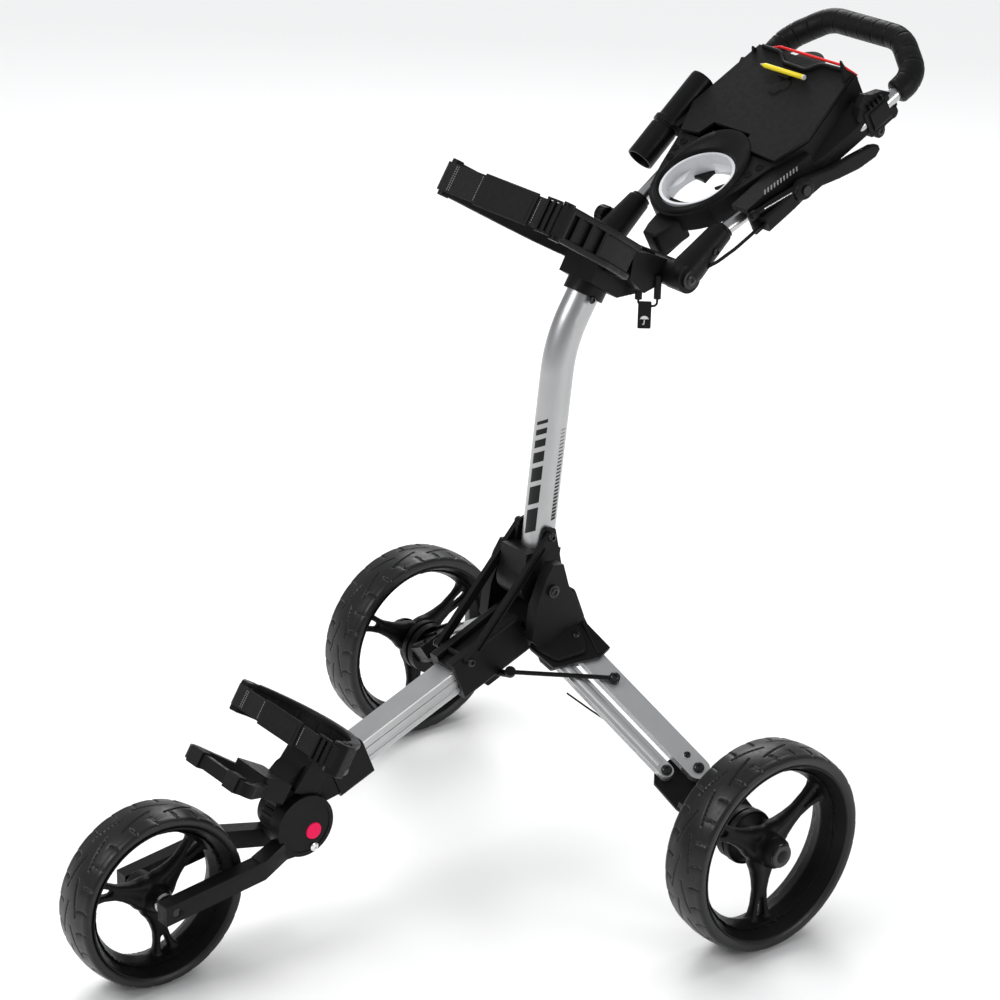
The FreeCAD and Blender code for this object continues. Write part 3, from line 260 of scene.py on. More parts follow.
# ---- mesh making ------------------------------------------------------------------------------
class Form:
    """Vertices and faces in one set of local axes, in millimetres."""

    def __init__(self):
        self.verts = []
        self.faces = []

    def add(self, verts, faces):
        start = len(self.verts)
        self.verts += [Vector(v) for v in verts]
        self.faces += [[i + start for i in face] for face in faces]
        return self

    def box(self, low, high):
        """A box between two opposite corners."""
        x0, y0, z0 = low
        x1, y1, z1 = high
        return self.prism([(x0, y0), (x1, y0), (x1, y1), (x0, y1)], z0, z1)

    def prism(self, points, z0, z1):
        n = len(points)
        verts = [(x, y, z0) for x, y in points] + [(x, y, z1) for x, y in points]
        faces = [list(range(n))[::-1], list(range(n, 2 * n))]
        faces += [[i, (i + 1) % n, n + (i + 1) % n, n + i] for i in range(n)]
        return self.add(verts, faces)

    def side_prism(self, points, x0, x1):
        """A polygon in YZ, extruded along X."""
        n = len(points)
        verts = [(x0, y, z) for y, z in points] + [(x1, y, z) for y, z in points]
        faces = [list(range(n)), list(range(n, 2 * n))[::-1]]
        faces += [[i, (i + 1) % n, n + (i + 1) % n, n + i] for i in range(n)]
        return self.add(verts, faces)

    def skin(self, rings, loop=False):
        """Joins rings of equally many points. loop joins the last ring to the first; without it
        the two end rings are closed with a face each."""
        n = len(rings[0])
        verts = [p for r in rings for p in r]
        faces = []
        count = len(rings)
        for i in range(count if loop else count - 1):
            a = i * n
            b = ((i + 1) % count) * n
            for j in range(n):
                k = (j + 1) % n
                faces.append([a + j, a + k, b + k, b + j])
        if not loop:
            faces.append(list(range(n))[::-1])
            faces.append([(count - 1) * n + j for j in range(n)])
        return self.add(verts, faces)

    def lathe(self, profile, origin=(0, 0, 0), axis=(1, 0, 0), seg=48, closed=False):
        """profile is (along, radius). closed makes a ring whose section is the profile."""
        a = Vector(axis).normalized()
        u = a.orthogonal().normalized()
        w = a.cross(u)
        rings = []
        for i in range(seg):
            t = 2 * math.pi * i / seg
            out = u * math.cos(t) + w * math.sin(t)
            rings.append([Vector(origin) + a * h + out * r for h, r in profile])
        if closed:
            return self.skin(rings, loop=True)
        flipped = [[rings[i][j] for i in range(seg)] for j in range(len(profile))]
        return self.skin(flipped)

    def rod(self, start, end, radius, radius_end=None, seg=24):
        a = Vector(start)
        length = (Vector(end) - a).length
        last = radius if radius_end is None else radius_end
        return self.lathe([(0, radius), (length, last)], a, Vector(end) - a, seg)

    def sweep(self, path, section, side=(1, 0, 0)):
        """section(i) gives (across, up) pairs at the path's point i, or is one fixed list."""
        pts = [Vector(p) for p in path]
        n = len(pts)
        rings = []
        for i, p in enumerate(pts):
            before = pts[i - 1] if i else p
            after = pts[i + 1] if i < n - 1 else p
            ahead = (after - before).normalized()
            across = Vector(side) - ahead * Vector(side).dot(ahead)
            across.normalize()
            up = ahead.cross(across)
            shape = section(i) if callable(section) else section
            rings.append([p + across * a + up * b for a, b in shape])
        return self.skin(rings)


def circle(radius, seg=24, flat=1.0):
    turns = [2 * math.pi * i / seg for i in range(seg)]
    return [(radius * math.cos(t), flat * radius * math.sin(t)) for t in turns]


def round_rect(width, height, radius, steps=4):
    points = []
    for cx, cy, start in ((1, 1, 0), (-1, 1, 90), (-1, -1, 180), (1, -1, 270)):
        for i in range(steps + 1):
            c, s = polar(start + 90 * i / steps)
            points.append((cx * (width / 2 - radius) + radius * c,
                           cy * (height / 2 - radius) + radius * s))
    return points


def rounded(points, radius, steps=4):
    """A closed polygon with its corners rounded."""
    out = []
    n = len(points)
    for i in range(n):
        p = Vector(points[i])
        a = Vector(points[i - 1]) - p
        b = Vector(points[(i + 1) % n]) - p
        cut = min(radius, a.length * 0.45, b.length * 0.45)
        p0 = p + a.normalized() * cut
        p1 = p + b.normalized() * cut
        for k in range(steps + 1):
            t = k / steps
            out.append(tuple(p0 * (1 - t) ** 2 + p * (2 * t * (1 - t)) + p1 * t * t))
    return out


def fillet_path(points, radii, step=4.0):
    """Straight runs joined by tangent arcs, sampled about every step millimetres."""
    pts = [Vector(p) for p in points]
    out = [pts[0]]

    def line_to(target):
        start = out[-1].copy()
        count = max(1, round((target - start).length / step))
        for k in range(1, count + 1):
            out.append(start.lerp(target, k / count))

    for i, radius in enumerate(radii):
        corner = pts[i + 1]
        back = (pts[i] - corner).normalized()
        ahead = (pts[i + 2] - corner).normalized()
        half = back.angle(ahead) / 2
        run = radius / math.tan(half)
        centre = corner + (back + ahead).normalized() * (radius / math.sin(half))
        first = corner + back * run
        last = corner + ahead * run
        line_to(first)
        a = first - centre
        b = last - centre
        sweep = a.angle(b)
        count = max(2, round(radius * sweep / step))
        for k in range(1, count + 1):
            t = k / count
            arm = (a * math.sin((1 - t) * sweep) + b * math.sin(t * sweep)) / math.sin(sweep)
            out.append(centre + arm)
    line_to(pts[-1])
    return out


def finish_mesh(obj, smooth):
    mesh = obj.data
    work = bmesh.new()
    work.from_mesh(mesh)
    bmesh.ops.remove_doubles(work, verts=work.verts, dist=1e-6)
    bmesh.ops.recalc_face_normals(work, faces=work.faces)
    work.to_mesh(mesh)
    work.free()
    for polygon in mesh.polygons:
        polygon.use_smooth = True
    mesh.set_sharp_from_angle(angle=math.radians(smooth))


def soften(obj, width, segments):
    """Rounds the edges and keeps the flat faces flat."""
    mod = obj.modifiers.new("edges", "BEVEL")
    mod.width = width * MM
    mod.segments = segments
    mod.limit_method = "ANGLE"
    mod.angle_limit = math.radians(EDGE_ANGLE)
    mod.use_clamp_overlap = True
    mod.harden_normals = False
    tidy = obj.modifiers.new("normals", "WEIGHTED_NORMAL")
    tidy.keep_sharp = False
    tidy.weight = 60


def piece(name, form, place, body, mat, slot=None, bevel=0.0, segments=2, smooth=40, stands_for=()):
    """Makes one visible piece on a body. Its edges are rounded by bevel millimetres, or else split
    where they are sharper than smooth degrees. stands_for names the CAD nodes it takes over."""
    mesh = bpy.data.meshes.new(name)
    mesh.from_pydata([place @ v for v in form.verts], [], form.faces)
    obj = bpy.data.objects.new(name, mesh)
    bpy.context.scene.collection.objects.link(obj)
    finish_mesh(obj, 180 if bevel else smooth)
    mesh.materials.append(mat)
    if bevel:
        soften(obj, bevel, segments)
    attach(obj, body)
    if stands_for:
        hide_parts(*stands_for)


def both_sides(name, form, place, bodies, mat, **options):
    """A pair of mirrored pieces. bodies holds %s where the side's name goes, or is one body."""
    for side, sign in SIDES:
        body = bodies.replace("%s", side)
        extra = dict(options)
        if "stands_for" in extra:
            extra["stands_for"] = [n.replace("%s", side) for n in extra["stands_for"]]
        piece(name + "_" + side, form, on_side(place, sign), body, mat, **extra)


def melt(form, voxel, passes=6, keep=0.35):
    """The union of overlapping closed solids as one form with soft fillets."""
    mesh = bpy.data.meshes.new("melt")
    mesh.from_pydata(form.verts, [], form.faces)
    obj = bpy.data.objects.new("melt", mesh)
    bpy.context.scene.collection.objects.link(obj)
    finish_mesh(obj, 180)
    remesh = obj.modifiers.new("union", "REMESH")
    remesh.mode = "VOXEL"
    remesh.voxel_size = voxel
    blur = obj.modifiers.new("fillet", "SMOOTH")
    blur.factor = 0.5
    blur.iterations = passes
    thin = obj.modifiers.new("thin", "DECIMATE")
    thin.ratio = keep
    graph = bpy.context.evaluated_depsgraph_get()
    done = bpy.data.meshes.new_from_object(obj.evaluated_get(graph))
    result = Form()
    result.add([v.co.copy() for v in done.vertices], [list(p.vertices) for p in done.polygons])
    bpy.data.objects.remove(obj)
    bpy.data.meshes.remove(mesh)
    bpy.data.meshes.remove(done)
    return result


def dress(names, mat, bevel=0.8, segments=2):
    """Gives CAD nodes their material, and rounds their edges with modifiers."""
    for name in names:
        obj = NODES[name]
        obj.data.materials.clear()
        obj.data.materials.append(mat)
        bpy.context.view_layer.objects.active = obj
        if obj.data.has_custom_normals:
            bpy.ops.mesh.customdata_custom_splitnormals_clear()
        for polygon in obj.data.polygons:
            polygon.use_smooth = True
        weld = obj.modifiers.new("weld", "WELD")
        weld.merge_threshold = 0.000005
        flat = obj.modifiers.new("flat", "DECIMATE")
        flat.decimate_type = "DISSOLVE"
        flat.angle_limit = math.radians(0.6)
        if bevel:
            soften(obj, bevel, segments)
        else:
            even = obj.modifiers.new("normals", "WEIGHTED_NORMAL")
            even.keep_sharp = False


def sided(*stems):
    """Both sides' node names for each stem."""
    return [stem + "_" + side for stem in stems for side, _ in SIDES]


# ---- camera, floor and lights -----------------------------------------------------------------
def make_camera():
    az, el, roll = (math.radians(v) for v in (51.81, 22.57, 1.35))
    back = Vector((math.sin(az) * math.cos(el), -math.cos(az) * math.cos(el), math.sin(el)))
    right = (-back).cross(Vector((0, 0, 1))).normalized()
    up = right.cross(-back)
    right_rolled = right * math.cos(roll) + up * math.sin(roll)
    up_rolled = -right * math.sin(roll) + up * math.cos(roll)
    data = bpy.data.cameras.new("camera")
    data.lens = 105.76
    data.sensor_width = 36
    data.clip_end = 100
    cam = bpy.data.objects.new("camera", data)
    bpy.context.scene.collection.objects.link(cam)
    turn = Matrix((right_rolled, up_rolled, back)).transposed()
    cam.matrix_world = Matrix.Translation(ROW @ Vector((2888.3, -2420.6, 2072.9))) @ turn.to_4x4()
    bpy.context.scene.camera = cam


def area_light(name, position, target, size, power):
    data = bpy.data.lights.new(name, "AREA")
    data.energy = power
    data.size = size
    lamp = bpy.data.objects.new(name, data)
    bpy.context.scene.collection.objects.link(lamp)
    lamp.location = position
    lamp.rotation_mode = "QUATERNION"
    lamp.rotation_quaternion = (Vector(target) - Vector(position)).to_track_quat("-Z", "Y")


def make_studio():
    world = bpy.data.worlds.new("studio")
    world.use_nodes = True
    world.node_tree.nodes["Background"].inputs["Color"].default_value = (0.97, 0.98, 1.0, 1)
    world.node_tree.nodes["Background"].inputs["Strength"].default_value = 0.42
    bpy.context.scene.world = world
    bpy.context.scene.view_settings.view_transform = "Standard"
    mesh = bpy.data.meshes.new("floor")
    r = 14.0
    mesh.from_pydata([(-r, -r, 0), (r, -r, 0), (r, r, 0), (-r, r, 0)], [], [(0, 1, 2, 3)])
    floor = bpy.data.objects.new("floor", mesh)
    bpy.context.scene.collection.objects.link(floor)
    mesh.materials.append(shader_of("floor_pale", (0.90, 0.90, 0.90), 0.6)[0])
    sun = bpy.data.lights.new("sky", "SUN")
    sun.energy = 2.0
    sun.angle = math.radians(60)
    lamp = bpy.data.objects.new("sky", sun)
    bpy.context.scene.collection.objects.link(lamp)
    lamp.rotation_euler = (math.radians(-12), math.radians(-20), 0)
    lamp.visible_glossy = False
    area_light("key", (-0.6, -2.8, 3.2), (0, 0, 0.5), 1.6, 60)
    area_light("side", (3.4, 1.0, 1.8), (0, 0, 0.5), 1.2, 26)
    area_light("back", (-2.4, 2.2, 2.6), (0, 0, 0.6), 1.6, 40)


# ---- wheels -----------------------------------------------------------------------------------
def ramp(x):
    x = min(1.0, max(0.0, x))
    return x * x * (3 - 2 * x)


def tread_depth(around, across, pitch, half):
    """How deep the tread is cut, in mm: around runs along the tyre and across over its width."""
    deepest = 0.0
    side = 1 if across >= 0 else -1
    w = abs(across) / half
    u = around / pitch + (0.0 if side > 0 else 0.5)
    u -= math.floor(u)
    for shift in (-1, 0, 1):
        t = (u + shift - 0.06) / 0.74
        t = min(1.0, max(0.0, t))
        du = (u + shift - (0.06 + 0.74 * t)) * pitch
        dw = (w - (0.10 + 0.30 * t)) * half
        gap = math.hypot(du, dw)
        deepest = max(deepest, 1.9 * (1 - ramp((gap - 0.3) / 1.3)))
    if w > 0.40:
        for start in (0.16, 0.66):
            v = min(1.0, max(0.0, (w - 0.44) / 0.5))
            line = start - 0.13 * v + 0.10 * v * v
            ahead = u - line
            ahead -= round(ahead)
            ahead *= pitch
            fade = ramp((w - 0.42) / 0.07)
            cut = 2.2 * (1 - ramp((abs(ahead) - 0.4) / 1.2))
            if 0 < ahead < 11:
                cut = max(cut, 1.2 * (1 - ahead / 11) ** 2)
            deepest = max(deepest, cut * fade)
    return deepest


def tyre_form(radius, width, bore, pitches, per_pitch):
    half = width / 2
    shoulder = 8.5
    crown = 0.72 * half
    drop = 3.0
    rise = drop / crown ** 2
    right = [(half - 5.5, bore + 0.3, 0), (half - 3.2, bore + 0.5, 0), (half - 2.6, bore + 1.8, 0),
             (half - 1.5, bore + 2.8, 0), (half - 0.5, bore + 5.0, 0), (half - 0.1, bore + 7.6, 0)]
    for i in range(11):
        t = i / 10
        x = (1 - t) ** 2 * half + 2 * t * (1 - t) * half * 0.985 + t * t * crown
        r = ((1 - t) ** 2 * (radius - shoulder) + 2 * t * (1 - t) * (radius - drop - 0.6)
             + t * t * (radius - drop))
        right.append((x - 0.1, r, ramp((t - 0.12) / 0.3)))
    steps = 19
    for i in range(1, steps + 1):
        x = crown * (1 - i / steps)
        right.append((x, radius - rise * x * x, 1))
    profile = [(-x, r, k) for x, r, k in right[:-1]] + right[::-1]
    count = pitches * per_pitch
    pitch = 2 * math.pi * radius / pitches
    rings = []
    for i in range(count):
        c, s = polar(360 * i / count)
        around = 2 * math.pi * radius * i / count
        ring = []
        for x, r, k in profile:
            cut = tread_depth(around, x, pitch, half) * k if k else 0.0
            lean = ramp((abs(x) - crown) / (half - crown))
            ring.append((x - math.copysign(cut * 0.6 * lean, x), (r - cut * (1 - 0.5 * lean)) * c,
                         (r - cut * (1 - 0.5 * lean)) * s))
        rings.append(ring)
    return Form().skin(rings, loop=True)


def spider_form(bore, hub_r, hub_half, angles):
    """A hub and three spokes that flow out of it, each split by a slot before it meets the rim."""
    form = Form()
    ridge = bore - 19
    form.lathe([(-hub_half, hub_r * 0.9), (-12, hub_r), (12, hub_r), (hub_half * 0.6, hub_r * 0.80),
                (hub_half * 0.86, hub_r * 0.66), (hub_half, hub_r * 0.3)], seg=48)
    form.lathe([(-22, ridge + 7.5), (0, ridge - 0.6), (22, ridge + 7.5), (0, ridge + 6)], seg=96,
               closed=True)
    ring = circle(1.0, 24)

    def limb(angle, points):
        c, s = polar(angle)
        path = [(x, -q * c - r * s, -q * s + r * c) for x, q, r, _, _ in points]
        sizes = [(w, t) for _, _, _, w, t in points]

        def section(i):
            w, t = sizes[i]
            return [(t * b * (1 - 0.30 * math.exp(-(a / 0.4) ** 2)), w * a) for a, b in ring]

        form.sweep(path, section, side=(1, 0, 0))

    for angle in angles:
        span = ridge - hub_r
        trunk = []
        for t, w, thick in ((-0.25, 27, 18), (0.02, 22, 17), (0.16, 16.5, 15), (0.34, 12.8, 12.5),
                            (0.52, 11.2, 10.5), (0.66, 10.6, 8.5)):
            trunk.append((0, 0, hub_r + span * t, w, thick))
        limb(angle, trunk)
        for sign in (-1, 1):
            rib = []
            for t, q, w, thick in ((0.50, 5.0, 5.0, 9.5), (0.66, 6.8, 4.6, 9),
                                   (0.80, 8.6, 4.2, 8.5), (0.93, 10.5, 5.2, 9.5),
                                   (1.06, 13.5, 8.0, 13)):
                rib.append((0, sign * q, hub_r + span * t, w, thick))
            limb(angle, rib)
    done = melt(form, 1.6, passes=7, keep=0.45)
    half = 33.4
    lip = bore - 0.2
    section = [(-half, lip), (-half, lip - 2.2), (-half + 2.2, lip - 3.4), (-half + 6, lip - 5.4),
               (-12, ridge + 5.6), (-4, ridge + 1.6), (0, ridge + 0.9), (4, ridge + 1.6),
               (12, ridge + 5.6), (half - 6, lip - 5.4), (half - 2.2, lip - 3.4),
               (half, lip - 2.2), (half, lip), (20, lip), (-20, lip)]
    done.lathe(section, seg=144, closed=True)
    return done


def make_wheels():
    tyre = tyre_form(*REAR_TYRE, pitches=14, per_pitch=46)
    spider = spider_form(REAR_TYRE[2], 24, 33, (-60, 60, 180))
    rear = ROW @ Matrix.Translation((REAR_TRACK, 0, REAR_TYRE[0]))
    both_sides("tyre_rear", tyre, rear, "rear_wheel_%s", TYRE, slot="tyre", smooth=50,
               stands_for=["rear_tyre_%s"])
    both_sides("rim_rear", spider, rear, "rear_wheel_%s", RIM, slot="rim", smooth=60,
               stands_for=["rear_rim_%s"])
    hub = Form().lathe([(-33, 26.5), (-33, 14.5), (-12, 14.5), (-12, 22), (-24, 36), (-24.4, 26.5)],
                       seg=72, closed=True)
    hub.lathe([(-33, 35.5), (-24.2, 35.5), (-23, 38), (-26, 39), (-33, 39)], seg=72, closed=True)
    for step in range(12):      # webs between the parking brake's openings
        c, s = polar(15 + 30 * step)
        corners = [(26, -3.4), (36, -4.4), (36, 4.4), (26, 3.4)]
        hub.side_prism([(r * c - q * s, r * s + q * c) for r, q in corners], -32.8, -24)
    both_sides("brake_ring", hub, rear, "rear_wheel_%s", RIM, slot="rim", bevel=0.4)
    cap = Form().lathe([(24, 23), (31, 21.6), (36, 18), (40, 12.5), (42, 6.5), (42.6, 0.8)], seg=56)
    both_sides("hub_cap", cap, rear, "rear_wheel_%s", RIM, slot="rim", smooth=60)
    front = ROW @ Matrix.Translation((0, -709, FRONT_TYRE[0]))
    tyre = tyre_form(*FRONT_TYRE, pitches=12, per_pitch=46)
    piece("tyre_front", tyre, front, "front_wheel", TYRE, slot="tyre", smooth=50,
          stands_for=["front_tyre"])
    spider = spider_form(FRONT_TYRE[2], 21, 36.5, (-50, 70, 190))
    piece("rim_front", spider, front, "front_wheel", RIM, slot="rim", smooth=60,
          stands_for=["front_rim"])
    dress(["front_bearings"] + sided("rear_bearings"), STEEL, bevel=0.3)


def bolt(form, position, direction, head=7.0, height=3.2, socket=3.0):
    """A button-head screw with a hexagonal socket, standing on position."""
    p = Vector(position)
    d = Vector(direction).normalized()
    profile = [(0, head), (height * 0.35, head), (height * 0.8, head * 0.82), (height, head * 0.55),
               (height, socket), (height * 0.3, socket * 0.9)]
    form.lathe(profile, p, d, seg=BOLT_SEGMENTS)


# ---- frame: tube, hub, legs -------------------------------------------------------------------
def make_frame():
    dress(["front_tube"], ALU_TUBE, bevel=0.5)
    for side, sign in SIDES:
        dress(["leg_bar_broad_" + side, "leg_bar_slim_" + side], ALU_LEG[sign], bevel=0.7)
    dress(["hub_core"], SATIN, bevel=1.4)
    dress(sided("hub_shell"), SATIN, bevel=1.6, segments=3)
    dress(["frame_fasteners"], BOLT, bevel=0.6)
    dress(["slider", "front_bracket"], BLACK, bevel=1.5, segments=3)
    dress(["base_loop", "lower_cradle"], BLACK, bevel=1.2, segments=3)
    strap_trim("lower", 107, -593.3, -9, 21, (-44, 40), "frame")
    arc = []
    for k in range(25):
        c, s = polar(90 - 66 + 132 * k / 24)
        arc.append((113 * c, -612 + 113 * s, 0))
    rails = Form()
    for z in (24.5, -12.5):
        rails.sweep([(x, y, z) for x, y, _ in arc], round_rect(9, 14, 3.5), side=(0, 0, 1))
    for k in range(3, 22, 3):
        x, y, _ = arc[k]
        rails.rod((x, y, -10), (x, y, 22), 6.2, 6.2, 10)
    piece("saddle_rails", rails, BAG, "frame", BLACK, slot="plastic", bevel=1.0)
    tips = Form()
    tip = ((98, -566), (118, -562), (124, -580), (112, -592), (100, -586))
    for sign in (1, -1):
        tips.prism([(sign * x, y) for x, y in tip], -17, 27)
    piece("saddle_tips", tips, BAG, "frame", BLACK, slot="plastic", bevel=2.2, segments=3)
    label = Form().side_prism([(-512, 199), (-503, 219), (-500.6, 218), (-509.6, 198)], 3, 17)
    piece("bracket_label", label, ROW, "frame", THREAD, slot="plastic", bevel=0.3)
    dress(["base_pads"], PAD, bevel=1.0)
    dress(sided("wheel_bracket"), BLACK, bevel=1.4, segments=3)
    dress(sided("rear_axle"), BOLT, bevel=0.5)
    dress(sided("brake_pin"), STEEL, bevel=0.3)
    dress(sided("brake_cable") + ["brake_cable_top"], RUBBER, bevel=0)
    dress(sided("mast_rod"), BLACK, bevel=0.8)
    dress(sided("link_rod"), BLACK, bevel=0.5)


def make_hub_details():
    outline = [(-37, -55), (-26, 8), (-17, 15), (0, 11), (17, 3), (28, -6), (13, -47), (-18, -56)]
    pillow = Form().prism(rounded(outline, 7), 13, 22)
    both_sides("hub_pillow", pillow, LEG, "frame", SATIN, slot="plastic_hub", bevel=6.0, segments=5)
    path = [(-55, -60, 15.5), (-52, -38, 16), (-43, 8, 16.5), (-36, 20, 16.5), (-20, 24.5, 16.2),
            (4, 19, 15.6), (40, 8, 15)]
    ridge = Form().sweep(path, round_rect(4.5, 4.5, 1.6), side=(0, 0, 1))
    both_sides("hub_ridge", ridge, LEG, "frame", SATIN, slot="plastic_hub", bevel=0.8)
    ribs = Form()
    for step in range(4):
        x = -34 + 6 * step
        ribs.prism([(x, 20.5), (x + 2.4, 20), (x + 3.6, 27), (x + 1.2, 27)], 13, 17.6)
    both_sides("hub_ribs", ribs, LEG, "frame", SATIN, slot="plastic_hub", bevel=0.6)
    screws = Form()
    bolt(screws, (0, 0, 21.6), (0, 0, 1), 5.4)
    bolt(screws, (-25.4, -36.4, 20.6), (0, 0, 1), 5.4)
    both_sides("hub_screws", screws, LEG, "frame", BOLT, slot="steel_dark")
    pivot = Form()
    bolt(pivot, (64, -100, 420), (1, 0, 0), 6.0, 2.6)
    both_sides("mast_screw", pivot, ROW, "frame", BOLT, slot="steel_dark")
    rod_screws = Form()
    bolt(rod_screws, (37.2, -86, 488), (1, 0, 0), 6.0, 4.0)
    both_sides("rod_top_screw", rod_screws, ROW, "mast_rod_%s", BOLT, slot="steel_dark")
    foot = Form()
    bolt(foot, (39, -222, 337), (1, 0, 0), 6.0, 3.2)
    both_sides("rod_foot_screw", foot, ROW, "slider", BOLT, slot="steel_dark")
    ball = Form()
    bolt(ball, (80, 0, 17.4), (0, 0, 1), 6.6, 3.0)
    both_sides("link_screw", ball, LEG, "link_rod_%s", BOLT, slot="steel_dark")
    ends = Form()
    bolt(ends, (250, 0, 10.3), (0, 0, 1), 7.0, 2.6)
    bolt(ends, (224.6, -36.4, 10.3), (0, 0, 1), 7.0, 2.6)
    both_sides("leg_end_screws", ends, LEG, "wheel_bracket_%s", BOLT, slot="steel_dark")
    bead = Form().sweep([(s, -36.4, 6.4) for s in (-8, 212)], circle(5.6, 28, 0.45), side=(0, 1, 0))
    line = Form().box((34, -12.6, 6.9), (232, -11.4, 7.5))
    for side, sign in SIDES:
        place = on_side(LEG, sign)
        mat = ALU_LEG[sign]
        piece("slim_bead_" + side, bead, place, "slim_bar_" + side, mat, slot="alu", smooth=60)
        piece("broad_line_" + side, line, place, "leg_" + side, mat, slot="alu", bevel=0.2)
    rivet = Form()
    bolt(rivet, (226, 1, 8.4), (0, 0, 1), 4.8, 2.0)
    both_sides("leg_rivet", rivet, LEG, "leg_%s", BOLT, slot="steel_dark")


# ---- fork -------------------------------------------------------------------------------------
def make_fork():
    dress(sided("fork_arm"), BLACK, bevel=1.6, segments=3)
    dress(["front_axle"], BOLT, bevel=0.4)
    dress(["button_spring"], STEEL, bevel=0.3)
    dress(["fold_button"], PINK, bevel=0.5)
    screw = Form()
    bolt(screw, (36.2, -478.5, 134.5), (1, 0, 0), 6.2, 2.0, 2.6)
    piece("fork_screw", screw, ROW, "fork", SCREW, slot="steel")
    # painted shade: a thin near-black square on each arm's end stands in for the shade in its
    # square socket
    cap = Form().side_prism([(-705, 119), (-699, 119), (-699, 125), (-705, 125)], 61.6, 62.3)
    both_sides("fork_socket_shade", cap, ROW, "fork", RECESS_SHADE, slot="plastic")


# ---- mast -------------------------------------------------------------------------------------
def wrapped(form, base, along, ahead, radius, s0, s1, a0, a1, lean=0.0):
    """A thin patch on a tube's surface, from station s0 to s1 along it and from angle a0 to a1 off
    the ahead direction."""
    axis = Vector(along).normalized()
    front = (Vector(ahead) - axis * Vector(ahead).dot(axis)).normalized()
    side = axis.cross(front)
    rings = []
    for i in range(11):
        t = i / 10
        a = math.radians(a0 + (a1 - a0) * t)
        out = front * math.cos(a) + side * math.sin(a)
        low = Vector(base) + axis * (s0 + lean * t)
        high = Vector(base) + axis * (s1 + lean * t)
        inner = out * (radius + 0.05)
        outer = out * (radius + 0.25)
        rings.append([low + inner, low + outer, high + outer, high + inner])
    form.skin(rings)


def make_mast():
    dress(["mast_tube"], ALU_MAST, bevel=0.3)
    dress(["mast_socket", "mast_head"], BLACK, bevel=1.6, segments=3)
    dress(["umbrella_tag"], RUBBER, bevel=0.4)
    sign = Form()
    canopy = [(5.8 * polar(180 - 15 * k)[0], -25 + 5.2 * polar(180 - 15 * k)[1]) for k in range(13)]
    canopy += [(3.9, -23.9), (1.9, -25), (0, -23.9), (-1.9, -25), (-3.9, -23.9)]
    stem = [(-0.45, -25), (0.45, -25), (0.45, -31), (-0.6, -32.6), (-2.6, -32), (-2.2, -31),
            (-0.8, -31.4)]
    for outline in (canopy, stem):
        sign.skin([[(x, y, z) for x, z in outline] for y in (-1.75, -2.0)])
    tag_place = ROW @ Matrix.Translation((53, 50, 806)) @ Matrix.Rotation(math.radians(52), 4, "Z")
    piece("tag_sign", sign, tag_place, "mast", MARK, slot="rubber")
    foot = (0, -84, 440)
    along = (0, 32.4, 313.5)
    bands = Form()
    station = 42
    for length in (34, 26, 20, 15, 11, 8, 5):
        wrapped(bands, foot, along, (0.25, -1, 0), 22.5, station, station + length, -20, 24, lean=9)
        station += length + 7
    ticks = Form()
    for step in range(26):
        s = 66 + 5.2 * step
        thick = 3.9 - 0.13 * step
        wrapped(ticks, foot, along, (1, 0.25, 0), 22.5, s, s + thick, -13, 9, lean=1.5)
    piece("mast_bands", bands, ROW, "mast", PRINT, slot="plastic", smooth=60)
    piece("mast_ticks", ticks, ROW, "mast", PRINT, slot="plastic", smooth=60)
    collar = Form()
    bolt(collar, (28.4, -22, 815), (1, 0, 0), 5.6, 2.6)
    piece("collar_screw", collar, ROW, "mast", BOLT, slot="steel_dark")
    dress(["upper_cradle"], BLACK, bevel=1.6, segments=3)
    half = [(-119, -627), (-110, -524), (-94, -466), (-62, -440)]
    rim_line = half + [(-x, y) for x, y in reversed(half)]
    path = fillet_path([(x, y, 0) for x, y in rim_line], (60, 30, 34, 34, 30, 60), 5)
    rails = Form()
    for z in (772, 732):
        rails.sweep([(p.x, p.y, z) for p in path], round_rect(9, 12, 3), side=(0, 0, 1))
    for side in (-1, 1):
        for y in (-604, -576, -548):
            x = side * (110 + (524 - abs(y)) * -0.0874)
            rails.box((x - 5, y - 3.5, 734), (x + 5, y + 3.5, 770))
    for x in (-44, -22, 22, 44):
        rails.box((x - 3.5, -446, 734), (x + 3.5, -435.5, 770))
    piece("cradle_rails", rails, BAG, "mast", BLACK, slot="plastic", bevel=0.8)
    strap_trim("upper", 118, -640.2, 732, 772, (-40, 72), "mast")


